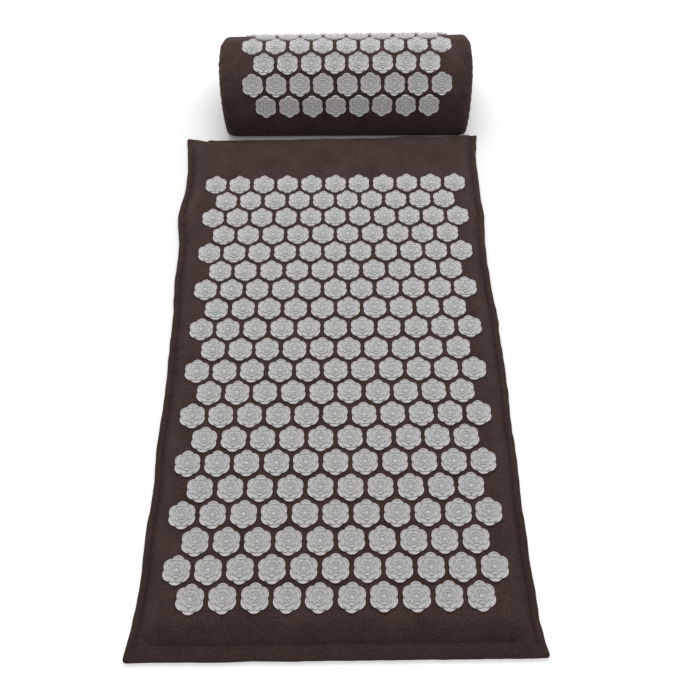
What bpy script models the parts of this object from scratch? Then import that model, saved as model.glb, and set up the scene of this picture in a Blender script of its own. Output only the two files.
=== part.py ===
"""Acupressure mat and arched pillow: padded cotton covers, rows of lotus discs, foam cores and zips.

Metres, +Z up. +Y runs from the mat's foot to its head and +X to its right. The origin lies on the
floor under the middle of the mat. The pillow stands on the floor just past the mat's head edge.
"""

import math
from typing import NamedTuple

import bmesh
import bpy
from mathutils import Vector

# Cloth and clearances
CLOTH = 0.001
CLEARANCE = 0.0003

# Lotus discs, in rows packed like a honeycomb
PETALS = 6
DISC_PITCH = 0.033
PETAL_REACH = 0.0155
NOTCH_REACH = 0.0131
CROWN_REACH = 0.0108
DISC_HEIGHT = 0.0042
GLUE_WIDTH = 0.003
GLUE_HEIGHT = 0.0006
# Where a petal's round end starts and stops, as shares of the petal's angle
PETAL_END_SHARES = (0.32, 0.68)

# Mat cover
MAT_LENGTH = 0.696
MAT_WIDTH = 0.415
MAT_THICKNESS = 0.022
FOOT_BAND = 0.058
HEAD_BAND = 0.090
SIDE_BAND = 0.040
SIDE_HEM = 0.0095
FOOT_HEM = 0.015
PAD_RUN = 0.024
HEAD_RUN = 0.020
SEAM_HEIGHT = 0.0045
SEAM_GAP = 0.0006
HEM_HEIGHT = 0.008
STITCH_HEIGHT = 0.006
CORNER_ROUND = 0.005
HEAD_LEFT_FLARE = 0.011
HEAD_RIGHT_FLARE = 0.004
FOOT_LEFT_FLARE = 0.008
FOOT_RIGHT_FLARE = 0.006
HEAD_EDGE_BOW = 0.004

# Across the rolled hem: (share of the width, share of the top's rise, share of the rim's height)
HEM_SHARES = ((0, 0, 1), (0.04, 0.6, 0.35), (0.5, 1, 0))
# Across the padded slope and the head edge: (share of the width, share of the rise)
PAD_SHARES = ((0.2, 0.3), (0.5, 0.75), (1, 1))
HEAD_SHARES = ((0, 0), (0.02, 0.3), (0.3, 0.78), (1, 1))
# Places of the rows between the foot and the head, as shares of the half length
MIDDLE_SHARES = (-0.72, -0.4, 0, 0.4, 0.72)
FLARE_POWER = 3
BOW_POWER = 2

# Mat foam
MAT_FOAM_INSET = 0.0065
MAT_FOAM_HEAD_INSET = 0.0047
MAT_FOAM_EDGE_HEIGHT = 0.005
MAT_FOAM_SLOPE_SHARES = ((0.35, 0.55), (1, 1))

# Pillow
PILLOW_LENGTH = 0.348
PILLOW_DEPTH = 0.140
PILLOW_HEIGHT = 0.106
PILLOW_BULGE = 0.004
PILLOW_OFFSET = 0.018
PILLOW_GAP = 0.012
PILLOW_FLANK = 0.033
PILLOW_END_BAND = 0.040
PILLOW_ROUND = 0.020
PILLOW_DRAW = 0.014
PILLOW_END_CROWN = 0.003
ARCH_POWER = 2.15
END_SHARES = ((0, 1), (0.15, 0.55), (0.45, 0.2), (1, 0))
FLANK_SHARES = (1, 2 / 3, 1 / 3)
DOME_SHARES = ((1, 0), (0.75, 0.6), (0.4, 1))
ARCH_STEPS = 600

# Pillow foam
PILLOW_FOAM_INSET = 0.002
PILLOW_FOAM_CHAMFER = 0.006

# Zips
TAPE_TAIL = 0.006
ZIP_OPENING = 0.0066
ZIP_CENTRE_HEIGHT = 0.0059
PILLOW_ZIP_INSET = 0.024
TAPE_THICKNESS = 0.0006
TAPE_LEAN = 0.0004
MAT_UPPER_TAPE = 0.0054
MAT_LOWER_TAPE = 0.0032
PILLOW_UPPER_TAPE = 0.0054
PILLOW_LOWER_TAPE = 0.0038
TEETH_GAP = 0.0012
TEETH_WIDTH = 0.0016
TEETH_DEPTH = 0.0015
STOP_LENGTH = 0.002
STOP_DEPTH = 0.0018
SLIDER_LENGTH = 0.010
SLIDER_WIDTH = 0.0068
SLIDER_PLATE = 0.0009
SLIDER_NECK = 0.0006
SLIDER_NECK_LENGTH = 0.004
SLIDER_PARKING = 0.001
PIN_RADIUS = 0.0004
KNUCKLE_WALL = 0.00045
KNUCKLE_WIDTH = 0.0022
EAR_WIDTH = 0.0008
TAB_LENGTH = 0.011
TAB_WIDTH = 0.0044
TAB_THICKNESS = 0.0009
ROUND_SIDES = 12
JOIN_OVERLAP = 0.0002

# Worked out from the sizes above
ROW_PITCH = DISC_PITCH * math.sin(math.pi / 3)
MAT_ROWS = 1 + int((MAT_LENGTH - FOOT_BAND - HEAD_BAND) / ROW_PITCH)
MAT_FULL_ROW = 1 + int((MAT_WIDTH - 2 * SIDE_BAND) / DISC_PITCH)
MAT_HEAD_EDGE = MAT_LENGTH / 2
PILLOW_FRONT = MAT_HEAD_EDGE + PILLOW_GAP
PILLOW_MIDDLE = PILLOW_FRONT + PILLOW_DEPTH / 2
PILLOW_FULL_ROW = 1 + int((PILLOW_LENGTH - 2 * PILLOW_END_BAND) / DISC_PITCH)
MAT_ZIP_INSET = SIDE_HEM + PAD_RUN
PILLOW_ZIP_OPENING = PILLOW_LENGTH - 2 * PILLOW_ZIP_INSET
SEAM_RIM = SEAM_HEIGHT - SEAM_GAP
RIM_HEIGHT = CLOTH + CLEARANCE
ZIP_LIP = ZIP_CENTRE_HEIGHT + ZIP_OPENING / 2
KNUCKLE_RADIUS = PIN_RADIUS + CLEARANCE + KNUCKLE_WALL
PLATE_FACE = CLEARANCE + TEETH_DEPTH + CLEARANCE + SLIDER_PLATE
PIN_HEIGHT = PLATE_FACE + CLEARANCE + KNUCKLE_RADIUS

# Colours, roughness and metallic value of each material
FINISHES = {
    "cover_cotton": ((0.055, 0.036, 0.031, 1), 0.92, 0.0),
    "disc_plastic": ((0.42, 0.43, 0.42, 1), 0.5, 0.0),
    "foam": ((0.62, 0.6, 0.52, 1), 0.95, 0.0),
    "zip_tape": ((0.04, 0.027, 0.024, 1), 0.9, 0.0),
    "zip_teeth": ((0.05, 0.034, 0.03, 1), 0.45, 0.0),
    "zip_metal": ((0.2, 0.19, 0.18, 1), 0.35, 1.0),
}


def clear_scene():
    for item in list(bpy.data.objects):
        bpy.data.objects.remove(item, do_unlink=True)


def new_collection(name):
    collection = bpy.data.collections.new(name)
    bpy.context.scene.collection.children.link(collection)
    return collection


def make_materials():
    made = {}
    for name, (colour, roughness, metallic) in FINISHES.items():
        material = bpy.data.materials.new(name)
        material.use_nodes = True
        shader = material.node_tree.nodes["Principled BSDF"]
        shader.inputs["Base Color"].default_value = colour
        shader.inputs["Roughness"].default_value = roughness
        shader.inputs["Metallic"].default_value = metallic
        made[name] = material
    return made


def mesh_of(form, name):
    """The mesh made from a bmesh, which is freed."""
    mesh = bpy.data.meshes.new(name)
    form.to_mesh(mesh)
    form.free()
    return mesh


def add_part(name, mesh, material, place=(0, 0, 0), parent=None):
    part = bpy.data.objects.new(name, mesh)
    PARTS.objects.link(part)
    if not mesh.materials:
        mesh.materials.append(MATERIALS[material])
    part.parent = parent
    part.location = place
    return part


def add_cutter(name, mesh, place, parent):
    cutter = bpy.data.objects.new(name, mesh)
    CUTTERS.objects.link(cutter)
    cutter.hide_render = True
    cutter.display_type = "WIRE"
    cutter.parent = parent
    cutter.location = place
    return cutter


def add_boolean(part, other, operation):
    modifier = part.modifiers.new(other.name, "BOOLEAN")
    modifier.operation = operation
    modifier.object = other
    modifier.solver = "EXACT"


def add_cloth(part):
    """Gives an open surface the thickness of the cover, inwards from its outer side."""
    modifier = part.modifiers.new("cloth", "SOLIDIFY")
    modifier.thickness = CLOTH
    modifier.offset = -1
    modifier.use_even_offset = True


def box_mesh(name, low, high):
    """A box from its lowest to its highest corner."""
    form = bmesh.new()
    bmesh.ops.create_cube(form, size=1)
    size = Vector(high) - Vector(low)
    middle = (Vector(high) + Vector(low)) / 2
    bmesh.ops.scale(form, vec=size, verts=form.verts)
    bmesh.ops.translate(form, vec=middle, verts=form.verts)
    return mesh_of(form, name)


def upright_cylinder_mesh(name, radius, height):
    form = bmesh.new()
    bmesh.ops.create_cone(
        form, cap_ends=True, segments=ROUND_SIDES, radius1=radius, radius2=radius, depth=height
    )
    return mesh_of(form, name)


def grid_form(columns, rows, place):
    """A grid of faces, facing up, whose point on each column and row is where place puts it."""
    form = bmesh.new()
    last_column = len(columns) - 1
    last_row = len(rows) - 1
    bmesh.ops.create_grid(form, x_segments=last_column, y_segments=last_row, size=1)
    for point in form.verts:
        column = round((point.co.x + 1) / 2 * last_column)
        row = round((point.co.y + 1) / 2 * last_row)
        point.co = place(columns[column], rows[row])
    return form


def loft_form(sections, open_start=False):
    """A solid through rings of as many points each, capped at its end and, unless open, its start."""
    form = bmesh.new()
    rings = [[form.verts.new(point) for point in section] for section in sections]
    count = len(rings[0])
    for ring, following in zip(rings, rings[1:]):
        for index in range(count):
            after = (index + 1) % count
            form.faces.new((ring[index], ring[after], following[after], following[index]))
    form.faces.new(rings[-1])
    if not open_start:
        form.faces.new(rings[0])
        bmesh.ops.recalc_face_normals(form, faces=form.faces)
    return form


def polar(centre, reach, angle, height):
    return (centre + reach * math.cos(angle), reach * math.sin(angle), height)


def add_disc(form, centre):
    """One disc: its petal outline on the cloth lofted up to a six-sided crown.

    Returns the foot, ridge and foot of the glue bead in its right and left notches.
    """
    step = 2 * math.pi / PETALS
    half_glue = GLUE_WIDTH / 2
    crown = []
    ends = []
    notches = {}
    for petal in range(PETALS):
        middle = (petal + 0.5) * step
        crown.append(form.verts.new(polar(centre, CROWN_REACH, middle, DISC_HEIGHT)))
        angles = [(petal + share) * step for share in PETAL_END_SHARES]
        ends.append([form.verts.new(polar(centre, PETAL_REACH, angle, 0)) for angle in angles])
        if petal % (PETALS // 2):
            notches[petal] = [form.verts.new(polar(centre, NOTCH_REACH, petal * step, 0))]
            continue
        way = 1 if petal == 0 else -1
        notch = centre + way * NOTCH_REACH
        before = form.verts.new((notch, -way * half_glue, 0))
        ridge = form.verts.new((notch, 0, GLUE_HEIGHT))
        after = form.verts.new((notch, way * half_glue, 0))
        notches[petal] = [before, ridge, after]
    outline = []
    for petal in range(PETALS):
        before = notches[petal]
        after = notches[(petal + 1) % PETALS]
        rim = [before[-1], *ends[petal], after[0]]
        for point, following in zip(rim, rim[1:]):
            form.faces.new((point, following, crown[petal]))
        previous = crown[petal - 1]
        if len(before) == 1:
            form.faces.new((before[0], crown[petal], previous))
        else:
            form.faces.new((before[0], before[1], previous))
            form.faces.new((before[1], crown[petal], previous))
            form.faces.new((before[1], before[2], crown[petal]))
            outline.append(before[0])
        outline += rim[:-1]
    form.faces.new(crown)
    form.faces.new(reversed(outline))
    return notches[0], notches[PETALS // 2]


def disc_row_mesh(name, count):
    """A row of discs on the bead of glue that runs under it, flat underneath at its own z = 0."""
    form = bmesh.new()
    first = -(count - 1) / 2 * DISC_PITCH
    beads = [add_disc(form, first + index * DISC_PITCH) for index in range(count)]
    for (right, _), (_, left) in zip(beads, beads[1:]):
        form.faces.new((right[2], right[1], left[1], left[0]))
        form.faces.new((right[0], left[2], left[1], right[1]))
        form.faces.new((right[0], right[2], left[0], left[2]))
    form.faces.new(beads[0][1])
    form.faces.new(beads[-1][0])
    bmesh.ops.recalc_face_normals(form, faces=form.faces)
    return mesh_of(form, name)


class Line(NamedTuple):
    """A grid line of the mat: its edge (-1, 1 or 0 for none), its place, and the cover's heights.

    The place is the distance in from the edge, or the share of the half length where edge is 0.
    """

    edge: int
    place: float
    top: float
    underside: float = 0


def climb(shares, start, width, low, high):
    return [(start + share * width, low + rise * (high - low)) for share, rise in shares]


def hem_lines(edge, hem):
    """From the seam over the rolled hem, down to the stitch line and up the padded slope."""
    lines = []
    for share, rise, rim_share in HEM_SHARES:
        top = SEAM_HEIGHT + rise * (HEM_HEIGHT - SEAM_HEIGHT)
        lines.append(Line(edge, share * hem, top, rim_share * SEAM_RIM))
    lines.append(Line(edge, hem, STITCH_HEIGHT))
    slope = climb(PAD_SHARES, hem, PAD_RUN, STITCH_HEIGHT, MAT_THICKNESS)
    return lines + [Line(edge, place, height) for place, height in slope]


def mat_columns():
    left = hem_lines(-1, SIDE_HEM)
    right = hem_lines(1, SIDE_HEM)
    return left + [Line(0, 0, MAT_THICKNESS)] + right[::-1]


def mat_rows():
    head = climb(HEAD_SHARES, 0, HEAD_RUN, ZIP_LIP, MAT_THICKNESS)
    head = [Line(1, place, height) for place, height in head]
    middle = [Line(0, share, MAT_THICKNESS) for share in MIDDLE_SHARES]
    return hem_lines(-1, FOOT_HEM) + middle + head[::-1]


def mat_half_width(side, y):
    along = max(-1, min(1, 2 * y / MAT_LENGTH))
    head_flare = HEAD_RIGHT_FLARE if side > 0 else HEAD_LEFT_FLARE
    foot_flare = FOOT_RIGHT_FLARE if side > 0 else FOOT_LEFT_FLARE
    flare = head_flare if along > 0 else foot_flare
    return MAT_WIDTH / 2 + flare * abs(along) ** FLARE_POWER


def mat_plan(column, row):
    """Where a grid point of the cover lies, seen from above."""
    inset_x = column.place
    inset_y = row.place
    if column.edge and row.edge and max(inset_x, inset_y) < CORNER_ROUND:
        across = CORNER_ROUND - inset_x
        along = CORNER_ROUND - inset_y
        pull = max(across, along) / math.hypot(across, along)
        inset_x = CORNER_ROUND - across * pull
        inset_y = CORNER_ROUND - along * pull
    bow = 0
    if row.edge > 0 and column.edge:
        bow = HEAD_EDGE_BOW * max(0, 1 - column.place / MAT_ZIP_INSET) ** BOW_POWER
    if row.edge:
        y = row.edge * (MAT_LENGTH / 2 + bow - inset_y)
    else:
        y = row.place * MAT_LENGTH / 2
    x = column.edge * (mat_half_width(column.edge, y) - inset_x)
    return x, y


def lip_share(column):
    """How far the cover's two lips have parted for the zip, from 0 by the corner to 1."""
    if not column.edge:
        return 1
    closed = SIDE_HEM + PAD_SHARES[-2][0] * PAD_RUN
    return max(0, min(1, (column.place - closed) / (MAT_ZIP_INSET - closed)))


def lip_height(column, lip, seam):
    return seam + (lip - seam) * lip_share(column)


def on_head_edge(row):
    return row.edge > 0 and row.place == 0


def mat_top_point(column, row):
    x, y = mat_plan(column, row)
    if on_head_edge(row):
        return x, y, lip_height(column, ZIP_LIP, SEAM_HEIGHT)
    return x, y, min(column.top, row.top)


def mat_underside_point(column, row):
    """The underside lies on the floor and turns up at the hem to meet the seam."""
    x, y = mat_plan(column, row)
    if on_head_edge(row):
        return x, y, lip_height(column, ZIP_CENTRE_HEIGHT - ZIP_OPENING / 2, SEAM_RIM)
    return x, y, max(column.underside, row.underside)


def mat_cover():
    columns = mat_columns()
    rows = mat_rows()
    top = grid_form(columns, rows, mat_top_point)
    add_cloth(add_part("mat_top_panel", mesh_of(top, "mat_top_panel"), "cover_cotton"))
    base = grid_form(columns, rows, mat_underside_point)
    bmesh.ops.reverse_faces(base, faces=base.faces)
    add_cloth(add_part("mat_bottom_panel", mesh_of(base, "mat_bottom_panel"), "cover_cotton"))


def foam_ring(inset, height):
    """The foam's outline, drawn in by inset from its foot."""
    side = MAT_WIDTH / 2 - SIDE_HEM - MAT_FOAM_INSET - inset
    foot = -MAT_LENGTH / 2 + FOOT_HEM + MAT_FOAM_INSET + inset
    head = MAT_LENGTH / 2 - MAT_FOAM_HEAD_INSET - inset
    return [(-side, foot, height), (side, foot, height), (side, head, height), (-side, head, height)]


def mat_foam():
    low = CLOTH + CLEARANCE
    top = MAT_THICKNESS - CLOTH - CLEARANCE
    edge = low + MAT_FOAM_EDGE_HEIGHT
    rings = [foam_ring(0, low), foam_ring(0, edge)]
    for inset, height in climb(MAT_FOAM_SLOPE_SHARES, 0, PAD_RUN, edge, top):
        rings.append(foam_ring(inset, height))
    add_part("mat_foam_core", mesh_of(loft_form(rings), "mat_foam_core"), "foam")


def row_count(row, full):
    """Short and full rows come in turn, and the first is short by one disc."""
    return full - 1 + row % 2


def mat_discs():
    """The rows of discs from the foot to the head."""
    meshes = {}
    height = MAT_THICKNESS + CLEARANCE
    for row in range(MAT_ROWS):
        count = row_count(row, MAT_FULL_ROW)
        if count not in meshes:
            meshes[count] = disc_row_mesh(f"disc_row_of_{count}", count)
        y = -MAT_LENGTH / 2 + FOOT_BAND + row * ROW_PITCH
        add_part(f"mat_disc_row_{row + 1:02d}", meshes[count], "disc_plastic", (0, y, height))


def arch_point(angle):
    """The pillow's outer section: y from its middle and z, from the front (0) to the back (pi)."""
    way = -1 if angle < math.pi / 2 else 1
    across = abs(math.cos(angle)) ** (2 / ARCH_POWER)
    z = PILLOW_HEIGHT * math.sin(angle) ** (2 / ARCH_POWER)
    bulge = PILLOW_BULGE * math.sin(math.pi * z / PILLOW_HEIGHT)
    return Vector((0, way * (across * PILLOW_DEPTH / 2 + bulge), z))


def arch_track():
    """Points down the back half of the section, each with its distance from the crown."""
    track = [(0, arch_point(math.pi / 2))]
    for step in range(1, ARCH_STEPS + 1):
        point = arch_point(math.pi / 2 * (1 + step / ARCH_STEPS))
        distance, before = track[-1]
        track.append((distance + (point - before).length, point))
    return track


def arch_at(distance):
    """The section's point at a distance from the crown, minus for the front."""
    way = -1 if distance < 0 else 1
    for (near, before), (far, after) in zip(TRACK, TRACK[1:]):
        if far >= abs(distance):
            break
    share = min(1, (abs(distance) - near) / (far - near))
    point = before.lerp(after, share)
    return Vector((0, way * point.y, point.z))


def arch_distance(height):
    """How far from the crown the section comes down to a height."""
    for distance, point in TRACK:
        if point.z <= height:
            return distance
    return TRACK[-1][0]


def flat_edges():
    """Distances from the crown of the edges of the flats that the disc rows lie on."""
    span = arch_distance(RIM_HEIGHT) - PILLOW_FLANK
    side_rows = int(span / ROW_PITCH - 0.5)
    count = 2 * side_rows + 1
    return [(index - count / 2) * ROW_PITCH for index in range(count + 1)]


def arch_section(back_height):
    """Outer points of the section from the front rim over the crown to the back rim."""
    edges = flat_edges()
    front = -arch_distance(RIM_HEIGHT)
    back = arch_distance(back_height)
    flank = [edges[0] + share * (front - edges[0]) for share in FLANK_SHARES]
    rise = [edges[-1] + share * (back - edges[-1]) for share in FLANK_SHARES[::-1]]
    return [arch_at(distance) for distance in flank + edges + rise]


def drawn_in(point, draw):
    """A section point drawn in towards the middle of the base, as the cover is at its ends."""
    across = 1 - 2 * draw / PILLOW_DEPTH
    up = 1 - draw / PILLOW_HEIGHT
    return Vector((0, point.y * across, RIM_HEIGHT + (point.z - RIM_HEIGHT) * up))


def pillow_stations():
    """(x from the pillow's middle, how far the section is drawn in, height of the back rim)."""
    half = PILLOW_LENGTH / 2
    zip_end = PILLOW_ZIP_OPENING / 2
    ends = [(half - share * PILLOW_ROUND, draw * PILLOW_DRAW, RIM_HEIGHT) for share, draw in END_SHARES]
    right = ends + [(zip_end, 0, ZIP_LIP)]
    return [(-x, draw, rim) for x, draw, rim in right] + right[::-1]


def pillow_cover():
    stations = pillow_stations()
    steps = range(len(arch_section(RIM_HEIGHT)))

    def shell_point(station, step):
        x, draw, rim = station
        point = drawn_in(arch_section(rim)[step], draw)
        return x, point.y, point.z

    shell = grid_form(stations, steps, shell_point)
    mesh = mesh_of(shell, "pillow_top_panel")
    add_cloth(add_part("pillow_top_panel", mesh, "cover_cotton", parent=PILLOW))

    def base_point(station, way):
        x, draw, _ = station
        return x, drawn_in(Vector((0, way * PILLOW_DEPTH / 2, RIM_HEIGHT)), draw).y, CLOTH

    base = grid_form(stations, (-1, 1), base_point)
    mesh = mesh_of(base, "pillow_base_panel")
    add_cloth(add_part("pillow_base_panel", mesh, "cover_cotton", parent=PILLOW))


def end_outline(inset):
    """The section at the pillow's end, drawn in by inset from the cover's mouth."""
    return [drawn_in(point, PILLOW_DRAW + inset) for point in arch_section(RIM_HEIGHT)]


def pillow_end(side, name):
    """A D-shaped panel in the cover's mouth, with a soft crown."""
    outline = end_outline(CLOTH + CLEARANCE)
    middle = Vector((0, 0, PILLOW_HEIGHT / 2))
    sections = []
    for share, rise in DOME_SHARES:
        x = side * (PILLOW_LENGTH / 2 + rise * PILLOW_END_CROWN)
        points = [middle.lerp(point, share) for point in outline]
        sections.append([(x, point.y, point.z) for point in points])
    form = loft_form(sections, open_start=True)
    if side < 0:
        bmesh.ops.reverse_faces(form, faces=form.faces)
    mesh = mesh_of(form, name)
    add_cloth(add_part(name, mesh, "cover_cotton", parent=PILLOW))


def pillow_foam():
    """The foam fills the arched cover, with its lower back edge cut off to clear the zip."""
    half = PILLOW_LENGTH / 2 - CLOTH - CLEARANCE
    rings = []
    for share, draw in END_SHARES:
        x = half - share * PILLOW_ROUND
        inset = draw * PILLOW_DRAW + PILLOW_FOAM_INSET
        rings.append((x, inset + (1 - share) * CLOTH))
    sections = []
    for x, inset in [(-x, inset) for x, inset in rings] + rings[::-1]:
        outline = [drawn_in(point, inset) for point in arch_section(ZIP_LIP + PILLOW_FOAM_CHAMFER)]
        back = outline[-1].copy()
        back.y -= PILLOW_FOAM_CHAMFER
        back.z = RIM_HEIGHT
        sections.append([(x, point.y, point.z) for point in outline + [back]])
    mesh = mesh_of(loft_form(sections), "pillow_foam_core")
    add_part("pillow_foam_core", mesh, "foam", parent=PILLOW)


def pillow_discs():
    """The rows of discs from the front to the back, each on its flat of the arch."""
    meshes = {}
    edges = flat_edges()
    for row, (start, end) in enumerate(zip(edges, edges[1:])):
        count = row_count(row, PILLOW_FULL_ROW)
        if count not in meshes:
            meshes[count] = disc_row_mesh(f"pillow_row_of_{count}", count)
        front = arch_at(start)
        back = arch_at(end)
        along = (back - front).normalized()
        out = Vector((0, -along.z, along.y))
        place = (front + back) / 2 + out * CLEARANCE
        part = add_part(f"pillow_disc_row_{row + 1}", meshes[count], "disc_plastic", place, PILLOW)
        part.rotation_euler.x = math.atan2(along.z, along.y)


def add_zip(prefix, middle, length, upper, lower, closed_end, parent):
    """A closed zip along X that faces +Y: the tapes' outer faces are at y = 0 about its middle.

    Its length is that of the teeth with their stops; the tapes run on past them under the cover.
    """
    half = length / 2
    tape = half + TAPE_TAIL
    gap = TEETH_GAP / 2
    teeth = gap + TEETH_WIDTH
    front = CLEARANCE + TEETH_DEPTH
    back = -TAPE_THICKNESS

    def strip(name, material, low, high):
        part = f"{prefix}_{name}"
        add_part(part, box_mesh(part, low, high), material, middle, parent)

    strip("upper_tape", "zip_tape", (-tape, back, gap), (tape, 0, gap + upper))
    strip("lower_tape", "zip_tape", (-tape, back, -gap - lower), (tape, 0, -gap))
    run = half - STOP_LENGTH - CLEARANCE
    strip("upper_teeth", "zip_teeth", (-run, CLEARANCE, gap), (run, front, teeth))
    strip("lower_teeth", "zip_teeth", (-run, CLEARANCE, -teeth), (run, front, -gap))
    stop_face = CLEARANCE + STOP_DEPTH
    inner = closed_end * (half - STOP_LENGTH)
    outer = closed_end * half
    near, far = sorted((inner, outer))
    strip("upper_stop", "zip_metal", (near, CLEARANCE, gap), (far, stop_face, teeth))
    strip("lower_stop", "zip_metal", (near, CLEARANCE, -teeth), (far, stop_face, -gap))
    strip("end_stop", "zip_metal", (-far, CLEARANCE, -teeth), (-near, stop_face, teeth))
    parked = half - STOP_LENGTH - SLIDER_PARKING - SLIDER_LENGTH / 2
    place = Vector(middle) + Vector((closed_end * parked, 0, 0))
    add_slider(prefix, place, parent)
    add_tab(prefix, place + Vector((0, PIN_HEIGHT, 0)), -closed_end, parent)


def add_slider(prefix, place, parent):
    """Front plate, neck between the teeth and back plate, with two ears and the tab's pin."""
    name = f"{prefix}_slider"
    half_length = SLIDER_LENGTH / 2
    half_width = SLIDER_WIDTH / 2
    inner = PLATE_FACE - SLIDER_PLATE
    back = -TAPE_THICKNESS - CLEARANCE
    plate = box_mesh(name, (-half_length, inner, -half_width), (half_length, PLATE_FACE, half_width))
    slider = add_part(name, plate, "zip_metal", place, parent)
    half_neck = SLIDER_NECK / 2
    neck_run = SLIDER_NECK_LENGTH / 2
    pieces = {
        "neck": (
            (-neck_run, back - JOIN_OVERLAP, -half_neck),
            (neck_run, inner + JOIN_OVERLAP, half_neck),
        ),
        "back_plate": (
            (-half_length, back - SLIDER_PLATE, -half_width),
            (half_length, back, half_width),
        ),
    }
    inner_ear = KNUCKLE_WIDTH / 2 + CLEARANCE
    outer_ear = inner_ear + EAR_WIDTH
    ear_top = PIN_HEIGHT + KNUCKLE_RADIUS
    for way, ear in ((1, "upper_ear"), (-1, "lower_ear")):
        low, high = sorted((way * inner_ear, way * outer_ear))
        pieces[ear] = (
            (-KNUCKLE_RADIUS, PLATE_FACE - JOIN_OVERLAP, low),
            (KNUCKLE_RADIUS, ear_top, high),
        )
    for piece, (low, high) in pieces.items():
        part = f"{name}_{piece}"
        add_boolean(slider, add_cutter(part, box_mesh(part, low, high), place, parent), "UNION")
    pin_length = 2 * inner_ear + 2 * JOIN_OVERLAP
    pin = upright_cylinder_mesh(f"{name}_pin", PIN_RADIUS, pin_length)
    pin_place = place + Vector((0, PIN_HEIGHT, 0))
    add_boolean(slider, add_cutter(f"{name}_pin", pin, pin_place, parent), "UNION")


def add_tab(prefix, place, way, parent):
    """The pull tab, whose knuckle turns on the slider's pin; it lies along the zip."""
    name = f"{prefix}_pull_tab"
    half_width = TAB_WIDTH / 2
    half_thickness = TAB_THICKNESS / 2
    start = KNUCKLE_RADIUS * math.sqrt(2) + CLEARANCE
    near, far = sorted((way * start, way * (start + TAB_LENGTH)))
    blade = box_mesh(name, (near, -half_thickness, -half_width), (far, half_thickness, half_width))
    tab = add_part(name, blade, "zip_metal", place, parent)
    shank = sorted((way * (PIN_RADIUS + CLEARANCE), way * (start + JOIN_OVERLAP)))
    half_knuckle = KNUCKLE_WIDTH / 2
    low = (shank[0], -half_thickness, -half_knuckle)
    high = (shank[1], half_thickness, half_knuckle)
    link = add_cutter(f"{name}_shank", box_mesh(f"{name}_shank", low, high), place, parent)
    add_boolean(tab, link, "UNION")
    knuckle = upright_cylinder_mesh(f"{name}_knuckle", KNUCKLE_RADIUS, KNUCKLE_WIDTH)
    add_boolean(tab, add_cutter(f"{name}_knuckle", knuckle, place, parent), "UNION")
    bore_length = KNUCKLE_WIDTH + 2 * JOIN_OVERLAP
    bore = upright_cylinder_mesh(f"{name}_bore", PIN_RADIUS + CLEARANCE, bore_length)
    add_boolean(tab, add_cutter(f"{name}_bore", bore, place, parent), "DIFFERENCE")


def mat_zip():
    """The zip in the mat's head edge, closed towards the left corner."""
    tape_face = MAT_HEAD_EDGE - CLOTH - CLEARANCE - TAPE_LEAN
    middle = (0, tape_face, ZIP_CENTRE_HEIGHT)
    length = MAT_WIDTH - 2 * MAT_ZIP_INSET
    add_zip("mat_zip", middle, length, MAT_UPPER_TAPE, MAT_LOWER_TAPE, -1, None)


def pillow_zip():
    """The zip along the pillow's lower back edge, closed towards its left end."""
    wall = arch_at(arch_distance(ZIP_LIP)).y
    middle = (0, wall - CLOTH - CLEARANCE - TAPE_LEAN, ZIP_CENTRE_HEIGHT)
    length = PILLOW_ZIP_OPENING - 2 * (TAPE_TAIL + CLEARANCE)
    add_zip("pillow_zip", middle, length, PILLOW_UPPER_TAPE, PILLOW_LOWER_TAPE, -1, PILLOW)


def pillow_frame():
    """The empty that carries the pillow, on the floor under its middle."""
    frame = bpy.data.objects.new("pillow_lift", None)
    PARTS.objects.link(frame)
    frame.location = (PILLOW_OFFSET, PILLOW_MIDDLE, 0)
    return frame


clear_scene()
PARTS = new_collection("acupressure_mat")
CUTTERS = new_collection("cutters")
MATERIALS = make_materials()
TRACK = arch_track()
PILLOW = pillow_frame()

mat_cover()
mat_foam()
mat_discs()
mat_zip()
pillow_cover()
pillow_end(-1, "pillow_left_end")
pillow_end(1, "pillow_right_end")
pillow_foam()
pillow_discs()
pillow_zip()
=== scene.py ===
"""Dresses the acupressure mat and its arched pillow.

Metres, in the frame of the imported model: the origin lies on the floor under the middle of the mat,
+Y runs from its foot to its head, +X to its right and +Z up.
"""

import math
import random

import bmesh
import bpy
import numpy as np
from mathutils import Matrix, Vector


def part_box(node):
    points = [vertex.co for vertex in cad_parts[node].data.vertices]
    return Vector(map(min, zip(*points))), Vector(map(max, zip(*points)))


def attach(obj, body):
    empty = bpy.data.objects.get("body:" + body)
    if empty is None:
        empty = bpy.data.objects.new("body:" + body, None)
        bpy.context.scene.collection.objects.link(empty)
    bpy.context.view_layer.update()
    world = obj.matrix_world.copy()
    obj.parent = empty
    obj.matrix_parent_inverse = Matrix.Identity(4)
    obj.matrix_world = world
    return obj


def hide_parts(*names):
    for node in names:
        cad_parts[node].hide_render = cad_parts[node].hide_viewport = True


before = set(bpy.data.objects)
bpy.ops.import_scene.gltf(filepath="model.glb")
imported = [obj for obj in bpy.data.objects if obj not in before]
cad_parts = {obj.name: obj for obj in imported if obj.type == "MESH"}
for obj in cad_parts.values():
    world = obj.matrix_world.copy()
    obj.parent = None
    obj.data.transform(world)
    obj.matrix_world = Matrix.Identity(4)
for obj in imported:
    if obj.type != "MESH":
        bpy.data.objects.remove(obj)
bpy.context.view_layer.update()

SEED = 7

# The photograph's camera: place, right and up directions, and the focal length in picture heights
CAMERA_PLACE = (0.0181, -0.3849, 0.7549)
CAMERA_RIGHT = (0.99992591, -0.01052773, -0.0061108)
CAMERA_UP = (0.01215851, 0.88804161, 0.45960229)
FOCAL_SHARE = 680.65 / 700
SENSOR = 36.0
CLIP_START = 0.01

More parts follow.
